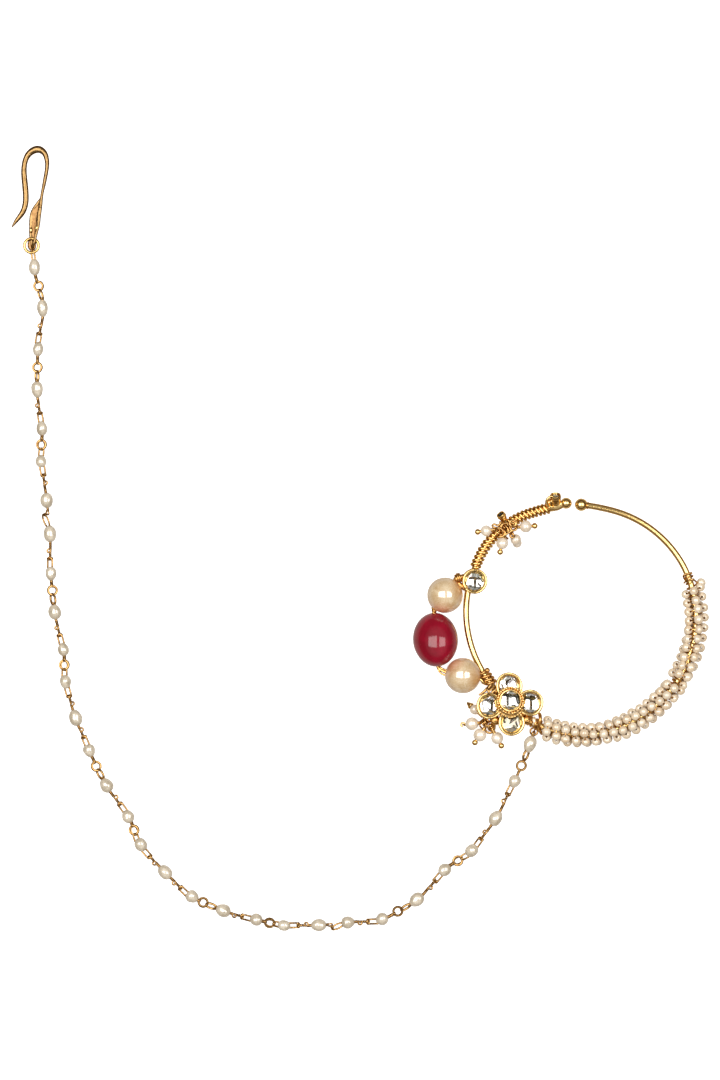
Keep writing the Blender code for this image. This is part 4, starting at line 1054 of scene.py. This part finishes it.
def make_rings():
    for index, drop in enumerate(DROPS):
        make_drop(*drop, index)
    make_double_drop()
    s = Shape()
    x, y, z, radius, wire = DROP_RINGS["upper"]
    ring(s, (x, y, z), UP, radius, wire, 40, 12)
    ring(s, (x + 0.08, y - 0.06, z + 0.30), (0.15, -0.10, 1.0), radius * 0.98, wire, 40, 12)
    # spiral loop and the wire ends of the cluster
    cx, cy = at(512.9, 523.4)
    rows = []
    for deg in range(-150, 470, 12):
        t = math.radians(deg)
        r = 0.64 - 0.34 * max(0.0, (deg - 200) / 270.0)
        rows.append((cx + r * math.cos(t), cy + r * math.sin(t), 5.15 + 0.10 * math.sin(t * 0.5), 0.18))
    sweep(s, rows, 12)
    tails = [
        [(509.5, 526.4, 4.8), (512.0, 530.6, 5.0), (516.2, 529.0, 4.9), (517.0, 525.5, 4.6)],
        [(514.6, 529.5, 4.7), (509.2, 532.2, 5.1), (505.0, 535.8, 5.1), (507.4, 538.6, 4.6)],
        [(495.8, 536.4, 4.5), (499.4, 536.8, 4.9), (503.0, 536.0, 5.0), (505.0, 532.6, 5.0), (503.2, 529.6, 4.8)],
        [(494.6, 531.5, 4.4), (498.0, 528.0, 4.9), (501.8, 529.4, 5.1), (502.6, 533.6, 5.0), (499.8, 535.2, 4.8)],
        [(511.5, 532.0, 4.6), (509.9, 535.0, 4.9), (511.6, 537.6, 4.9), (513.8, 536.0, 4.7), (512.4, 533.6, 4.6)],
        [(495.0, 527.6, 4.4), (492.4, 526.6, 4.4), (492.6, 524.8, 4.5), (494.6, 524.3, 4.6), (497.4, 525.4, 4.6), (500.8, 522.0, 4.4)],
        [(503.5, 524.0, 4.4), (507.0, 527.6, 4.8), (508.0, 531.2, 4.9), (506.0, 534.4, 4.8)],
    ]
    for tail in tails:
        rows = smooth_rows([(*at(px, py), z) for px, py, z in tail], 0.13)
        sweep(s, [(*r[:3], 0.20) for r in rows], 12)
    piece("upper_ring_v", s, "upper_ring", "gold", GOLD_DEEP)

    s = Shape()
    x, y, z, radius, wire = DROP_RINGS["lower"]
    ring(s, (x, y, z), UP, radius, wire, 40, 12)
    ring(s, (x, y, z + 0.28), (0.2, 0.15, 1.0), radius * 0.96, wire, 40, 12)
    sweep(s, helix_rows((*at(480.4, 725.8), 2.6), (*at(489.6, 719.0), 3.5), 3.6, 0.46, 0.16, 18, phase=0.4), 10)
    sweep(s, [(*r[:3], 0.17) for r in smooth_rows(
        [(*at(479.6, 722.4), 2.6), (*at(484.0, 718.6), 3.2), (*at(489.4, 716.4), 3.5)], 0.14)], 10)
    ring(s, (*at(491.2, 727.6), 2.30), (0.45, -0.40, 1.0), 0.52, 0.25, 30, 12)
    ring(s, (*at(490.8, 726.6), 1.75), (-0.60, 0.30, 1.0), 0.40, 0.24, 30, 12)
    ring(s, (*at(485.6, 722.0), 2.60), (0.50, 0.60, 0.6), 0.46, 0.20, 30, 12)
    path = [(*at(494.4, 724.0), 2.4), (*at(494.2, 729.4), 2.2), (*at(490.6, 733.0), 1.9), (*at(486.6, 731.8), 1.9),
            (*at(485.2, 728.4), 2.2), (*at(488.2, 726.0), 2.5)]
    sweep(s, [(*r[:3], 0.23) for r in smooth_rows(path, 0.14)], 12)
    piece("lower_ring_v", s, "lower_ring", "gold", GOLD_DEEP)

    s = Shape()
    along, _ = hoop_frame(-230.4)
    centre = hoop_at(-230.4)
    belt(s, centre, 1.33, centre + UP * 2.08, 0.26, 0.14, along)
    piece("upper_hanger_v", s, "upper_hanger", "gold", GOLD_DEEP)

    s = Shape()
    eye = np.array([33.19, -36.61, 0.80])
    ring(s, eye, (0.08, -0.1, 1.0), 0.70, 0.18, 40, 12)
    piece("chain_eye_v", s, "chain_eye", "gold", GOLD_DEEP)
    s = Shape()
    spot = hoop_at(-112.8)
    way = unit((spot[0] - eye[0], spot[1] - eye[1], 0))
    belt(s, spot, WIRE_R + 0.24, eye + way * 0.70, 0.42, 0.15, np.cross(way, UP))
    piece("chain_loop_v", s, "chain_loop", "gold", GOLD_DEEP)


# ------------------------------------------------------------ chain
WIRE = 0.185


def make_chain():
    pearls, links = Shape(), Shape()
    centres = [np.array([x, y, max(1.16, w * 0.528 + 0.05)]) for x, y, w, _ in CHAIN]
    axes = []
    for i, c in enumerate(centres):
        a = centres[max(0, i - 1)]
        b = centres[min(len(centres) - 1, i + 1)]
        axes.append(unit(b - a))
    axes[0] = unit((0.08, -1.0, 0.0))
    axes[-1] = unit(np.array([33.1, -37.0, 1.1]) - centres[-1])
    for i, (x, y, w, length) in enumerate(CHAIN):
        bead(pearls, centres[i], axes[i], length * 0.53, w * 0.512, 0.20, 30, 24, 0.055, 400 + i,
             egg=(0.10, -0.06, 0.05, -0.12, 0.08)[i % 5], power=0.96)

    def local(a, u, v, w, rows, wire=WIRE):
        return [(*(a + u * r[0] + v * r[1] + w * r[2]), r[3] if len(r) > 3 else wire) for r in rows]

    def loop(a, u, v, w, x, rx, ry, tilt, y=0.0, wire=WIRE, skew=0.0):
        t = math.radians(tilt)
        rows = []
        for k in range(28):
            q = 2 * math.pi * k / 28
            across = ry * math.sin(q)
            rows.append((x + rx * math.cos(q) + skew * across, y + across * math.cos(t), across * math.sin(t), wire))
        normal = w * math.cos(t) - v * math.sin(t)
        sweep(links, local(a, u, v, w, rows), 9, closed=True, first=normal)

    def neck(a, u, x0, x1, radius=0.19, turns=None, wire=0.11):
        turns = turns or max(1.5, abs(x1 - x0) / 0.26)
        sweep(links, helix_rows(a + u * x0, a + u * x1, turns, radius, wire, 12), 8)
        sweep(links, [(*(a + u * x0), 0.11), (*(a + u * x1), 0.11)], 8)

    def legs(a, u, v, w, x0, x1, half, tilt=0.0, y=0.0):
        """Hairpin whose bend is at x0 and whose two legs run on to x1."""
        t = math.radians(tilt)
        rows = [(x1, half)]
        rows += [(x0 + half * 1.2 - half * 1.2 * math.sin(q), half * math.cos(q)) for q in np.linspace(0, math.pi, 13)]
        rows += [(x1, -half * 1.05)]
        sweep(links, local(a, u, v, w, [(p[0], y + p[1] * math.cos(t), p[1] * math.sin(t)) for p in rows]), 9)

    for i, kind in enumerate(GAPS):
        a = centres[i] + axes[i] * CHAIN[i][3] / 2
        b = centres[i + 1] - axes[i + 1] * CHAIN[i + 1][3] / 2
        g = float(np.linalg.norm(b - a))
        u = unit(b - a)
        v = unit(np.cross(UP, u))
        w = np.cross(u, v)
        shift = (0.10, -0.12, 0.05, -0.08)[i % 4]
        sway = (12, -10, 16, -14, 8)[i % 5]
        if kind == "A":
            x = g - 2.72
            neck(a, u, -0.15, max(0.30, x - 0.62), 0.20, wire=0.16)
            loop(a, u, v, w, x, 0.84, 0.84, sway, y=shift * 0.5, wire=0.245)
            loop(a, u, v, w, g - 1.02, 1.02, 0.62, 50 + sway * 0.6, skew=0.25, wire=0.23)
            neck(a, u, g - 0.40, g + 0.10, 0.22, 1.4, wire=0.16)
        elif kind == "F":
            x = g * 0.42
            neck(a, u, -0.15, max(0.3, x - 0.70), 0.17, wire=0.14)
            loop(a, u, v, w, x, 0.86, 0.84, sway, wire=0.25)
            loop(a, u, v, w, g - 0.60, 1.02, 0.66, 50, wire=0.25, skew=0.2)
        elif kind in "BR":
            if kind == "R":
                a, u, v = b, -u, -v
            x = max(0.85, g - 3.10)
            side = -0.22 if i % 2 else 0.22
            neck(a, u, -0.15, x - 0.20, 0.16, wire=0.16)
            curl = [(x - 0.30 + 0.10 * k, side * 0.2 * k, 0.0, 0.16) for k in range(2)]
            curl += [(x + 0.34 * math.sin(q), side * 1.2 - math.copysign(0.34, side) * math.cos(q), 0.12 * q / 5.0, 0.17)
                     for q in np.linspace(-0.6, 4.9, 22)]
            sweep(links, local(a, u, v, w, curl), 9)
            neck(a + v * shift * 0.5, u, x + 0.10, x + 1.25, 0.16, 3.4, wire=0.15)
            sweep(links, local(a, u, v, w, [(x + 1.50 + 0.20 * math.cos(q), shift + 0.46 * math.sin(q), 0.30 * math.cos(q + 0.8), 0.19)
                                            for q in np.linspace(0, 2 * math.pi, 19)[:-1]]), 8, closed=True, first=u)
            legs(a, u, v, w, x + 1.34, g + 0.25, 0.44, tilt=sway, y=shift)
        elif kind == "C":
            x = g * 0.47
            neck(a, u, -0.15, x - 0.64, 0.22, wire=0.16)
            loop(a, u, v, w, x, 0.85, 0.84, sway, wire=0.24)
            loop(a, u, v, w, x + 0.10, 0.88, 0.60, -sway, wire=0.15)
            neck(a, u, x + 0.72, x + 1.05, 0.26, 1.4, wire=0.16)
            legs(a, u, v, w, x + 0.70, g + 0.25, 0.44, tilt=-sway, y=shift)
        else:
            x = g * 0.26
            neck(a, u, -0.15, x - 0.25, 0.16, wire=0.14)
            loop(a, u, v, w, x, 0.42, 0.40, 52, skew=0.3, wire=0.14, y=-0.10)
            near = a + u * (x + 0.25) - v * 0.92
            far = a + u * (g + 0.28) - v * 0.16
            along = unit(far - near)
            half = float(np.linalg.norm(far - near)) / 2
            start = a + u * (x + 0.05) - v * 0.25
            twist = near + along * 0.25 - start
            neck(start, unit(twist), 0.0, float(np.linalg.norm(twist)), 0.20, 1.8, wire=0.15)
            loop(near, along, unit(np.cross(UP, along)), w, half, half, 0.60, 42)
    # both ends: a doubled wire round the hook ring, and a small loop in the hoop's eye
    a = np.array([*at(32.1, 251.6), 1.0])
    b = centres[0] - axes[0] * (CHAIN[0][3] / 2)
    u = unit(b - a)
    v = unit(np.cross(UP, u))
    legs(a, u, v, np.cross(u, v), -0.35, float(np.linalg.norm(b - a)) + 0.3, 0.30, tilt=20)
    a = centres[-1] + axes[-1] * CHAIN[-1][3] / 2
    u = axes[-1]
    v = unit(np.cross(UP, u))
    neck(a, u, -0.15, 0.20, 0.22, 1.5)
    loop(a, u, v, np.cross(u, v), 0.52, 0.50, 0.46, 62)
    piece("chain_pearls", pearls, "chain", "cream_pearl", PEARL_CHAIN)
    piece("chain_links", links, "chain", "gold", GOLD_LINK)


def make_hook():
    s = Shape()
    rows = [(x, y, z, half * (1.24 if k < 16 else 1.0), high * (1.12 if k < 16 else 1.0))
            for k, (x, y, z, half, high) in enumerate(HOOK_ROWS)]
    sweep(s, smooth_rows(rows, 0.16), 20, level=True)
    piece("hair_hook_v", s, "hair_hook", "gold", GOLD_HAMMERED)
    s = Shape()
    leaf = [(-60.60, 64.40, 0.46, 0.16, 0.16), (-61.02, 63.30, 0.42, 0.52, 0.20), (-61.52, 62.20, 0.38, 0.92, 0.20),
            (-61.70, 61.00, 0.36, 1.00, 0.20), (-61.80, 59.60, 0.38, 0.88, 0.20), (-61.88, 58.40, 0.44, 0.72, 0.20),
            (-61.92, 57.40, 0.56, 0.50, 0.20), (-61.90, 56.70, 0.72, 0.30, 0.18)]
    sweep(s, smooth_rows(leaf, 0.16), 20, level=True)
    end = [(-61.95, 57.70, 0.48, 0.50, 0.18), (-62.22, 56.70, 0.44, 0.78, 0.20), (-62.36, 55.80, 0.42, 0.80, 0.20),
           (-62.20, 55.05, 0.42, 0.50, 0.18), (-62.15, 54.80, 0.42, 0.20, 0.14)]
    sweep(s, smooth_rows(end, 0.16), 18, level=True)
    piece("hair_hook_leaf", s, "hair_hook", "gold", GOLD_LEAF, replaces=False)
    s = Shape()
    for px, py, way in ((30.4, 229.8, (0.0, 1.0, 0.0)), (36.3, 227.6, (0.35, 1.0, 0.0))):
        ball(s, (*at(px, py), 0.72 if px < 33 else 1.50), 0.30, unit(way), 18, 1.9)
    piece("hair_hook_beads", s, "hair_hook", "gold", GOLD, replaces=False)
    s = Shape()
    x, y, z, radius, wire = HOOK_RING
    ring(s, (x, y, z), (0.05, 0.05, 1.0), radius, wire, 56, 14)
    piece("hook_ring_v", s, "hook_ring", "gold", GOLD_WIRE)


# ------------------------------------------------------------ floor, light and camera
def area_light(name, x0, x1, y0, y1, height, radiance):
    """Soft box that fills the given directions, degrees from straight up."""
    left, right = (height * math.tan(math.radians(a)) for a in (x0, x1))
    near, far = (height * math.tan(math.radians(a)) for a in (y0, y1))
    lamp = bpy.data.lights.new(name, "AREA")
    lamp.shape = "RECTANGLE"
    lamp.size, lamp.size_y = right - left, far - near
    lamp.energy = radiance * math.pi * lamp.size * lamp.size_y
    lamp.color = (1.0, 0.985, 0.96)
    obj = bpy.data.objects.new(name, lamp)
    obj.location = ((left + right) / 2, (near + far) / 2, height)
    bpy.context.scene.collection.objects.link(obj)


def make_stage():
    scene = bpy.context.scene
    mesh = bpy.data.meshes.new("floor")
    mesh.from_pydata([(-3, -3, 0), (3, -3, 0), (3, 3, 0), (-3, 3, 0)], [], [(0, 1, 2, 3)])
    look = Look("floor_paper", 1.0)
    look.link(look.ramp(look.noise(40.0, 4.0), [(0.3, (0.90, 0.90, 0.90)), (0.7, (0.92, 0.92, 0.92))]),
              look.shader.inputs["Base Color"])
    look.link(look.span(look.noise(90.0, 3.0), 0.75, 0.9), look.shader.inputs["Roughness"])
    look.set(Emission_Strength=0.80)
    look.shader.inputs["Emission Color"].default_value = (1, 1, 1, 1)
    look.shader.inputs["Specular IOR Level"].default_value = 0.1
    mesh.materials.append(look.mat)
    floor = bpy.data.objects.new("floor", mesh)
    floor.location.z = -0.00005
    scene.collection.objects.link(floor)
    floor.visible_glossy = False
    floor.visible_diffuse = False

    area_light("softbox_left", -43, 0.5, -15, 26, 1.8, 4.0)
    area_light("softbox_right", 12.8, 46.0, -14, 24, 1.8, 4.0)

    world = scene.world or bpy.data.worlds.new("studio")
    scene.world = world
    world.use_nodes = True
    tree = world.node_tree
    back = tree.nodes.get("Background") or tree.nodes.new("ShaderNodeBackground")
    coord = tree.nodes.new("ShaderNodeTexCoord")
    split = tree.nodes.new("ShaderNodeSeparateXYZ")
    ramp = tree.nodes.new("ShaderNodeValToRGB")
    # from straight down to straight up: pale table, dark room near the horizon, soft grey above
    stops = [(0.0, (0.72, 0.68, 0.63)), (0.37, (0.50, 0.45, 0.39)), (0.45, (0.15, 0.095, 0.05)),
             (0.70, (0.13, 0.088, 0.048)), (0.80, (0.38, 0.35, 0.30)), (0.90, (0.48, 0.46, 0.43)), (1.0, (0.34, 0.32, 0.29))]
    half = tree.nodes.new("ShaderNodeMath")
    half.operation = "MULTIPLY_ADD"
    half.inputs[1].default_value = 0.5
    half.inputs[2].default_value = 0.5
    while len(ramp.color_ramp.elements) < len(stops):
        ramp.color_ramp.elements.new(0.5)
    for element, (place, value) in zip(ramp.color_ramp.elements, stops):
        element.position = place
        element.color = (*value, 1.0)
    tree.links.new(coord.outputs["Generated"], split.inputs["Vector"])
    tree.links.new(split.outputs["Z"], half.inputs[0])
    tree.links.new(half.outputs["Value"], ramp.inputs["Fac"])
    tree.links.new(ramp.outputs["Color"], back.inputs["Color"])
    scene.view_settings.view_transform = "Standard"

    distance = 1.5
    cam = bpy.data.cameras.new("camera")
    cam.sensor_width = 36.0
    cam.lens = 36.0 * distance / 0.2052
    cam.clip_start, cam.clip_end = 0.01, 50.0
    obj = bpy.data.objects.new("camera", cam)
    obj.location = (-0.000075, -0.00012, distance + 0.003)
    scene.collection.objects.link(obj)
    scene.camera = obj


make_stage()
make_hoop()
make_coil()
make_sleeve()
make_bindings()
make_round_bezel()
make_side_bezel()
make_flower()
make_big_beads()
make_rings()
make_chain()
make_hook()

total = sum(len(p.vertices) - 2 for o in bpy.data.objects if o.type == "MESH" for p in o.data.polygons)
print("triangles in all:", total)
for o in bpy.data.objects:
    if o.type == "MESH" and len(o.data.polygons) > 20000:
        print(o.name, sum(len(p.vertices) - 2 for p in o.data.polygons))
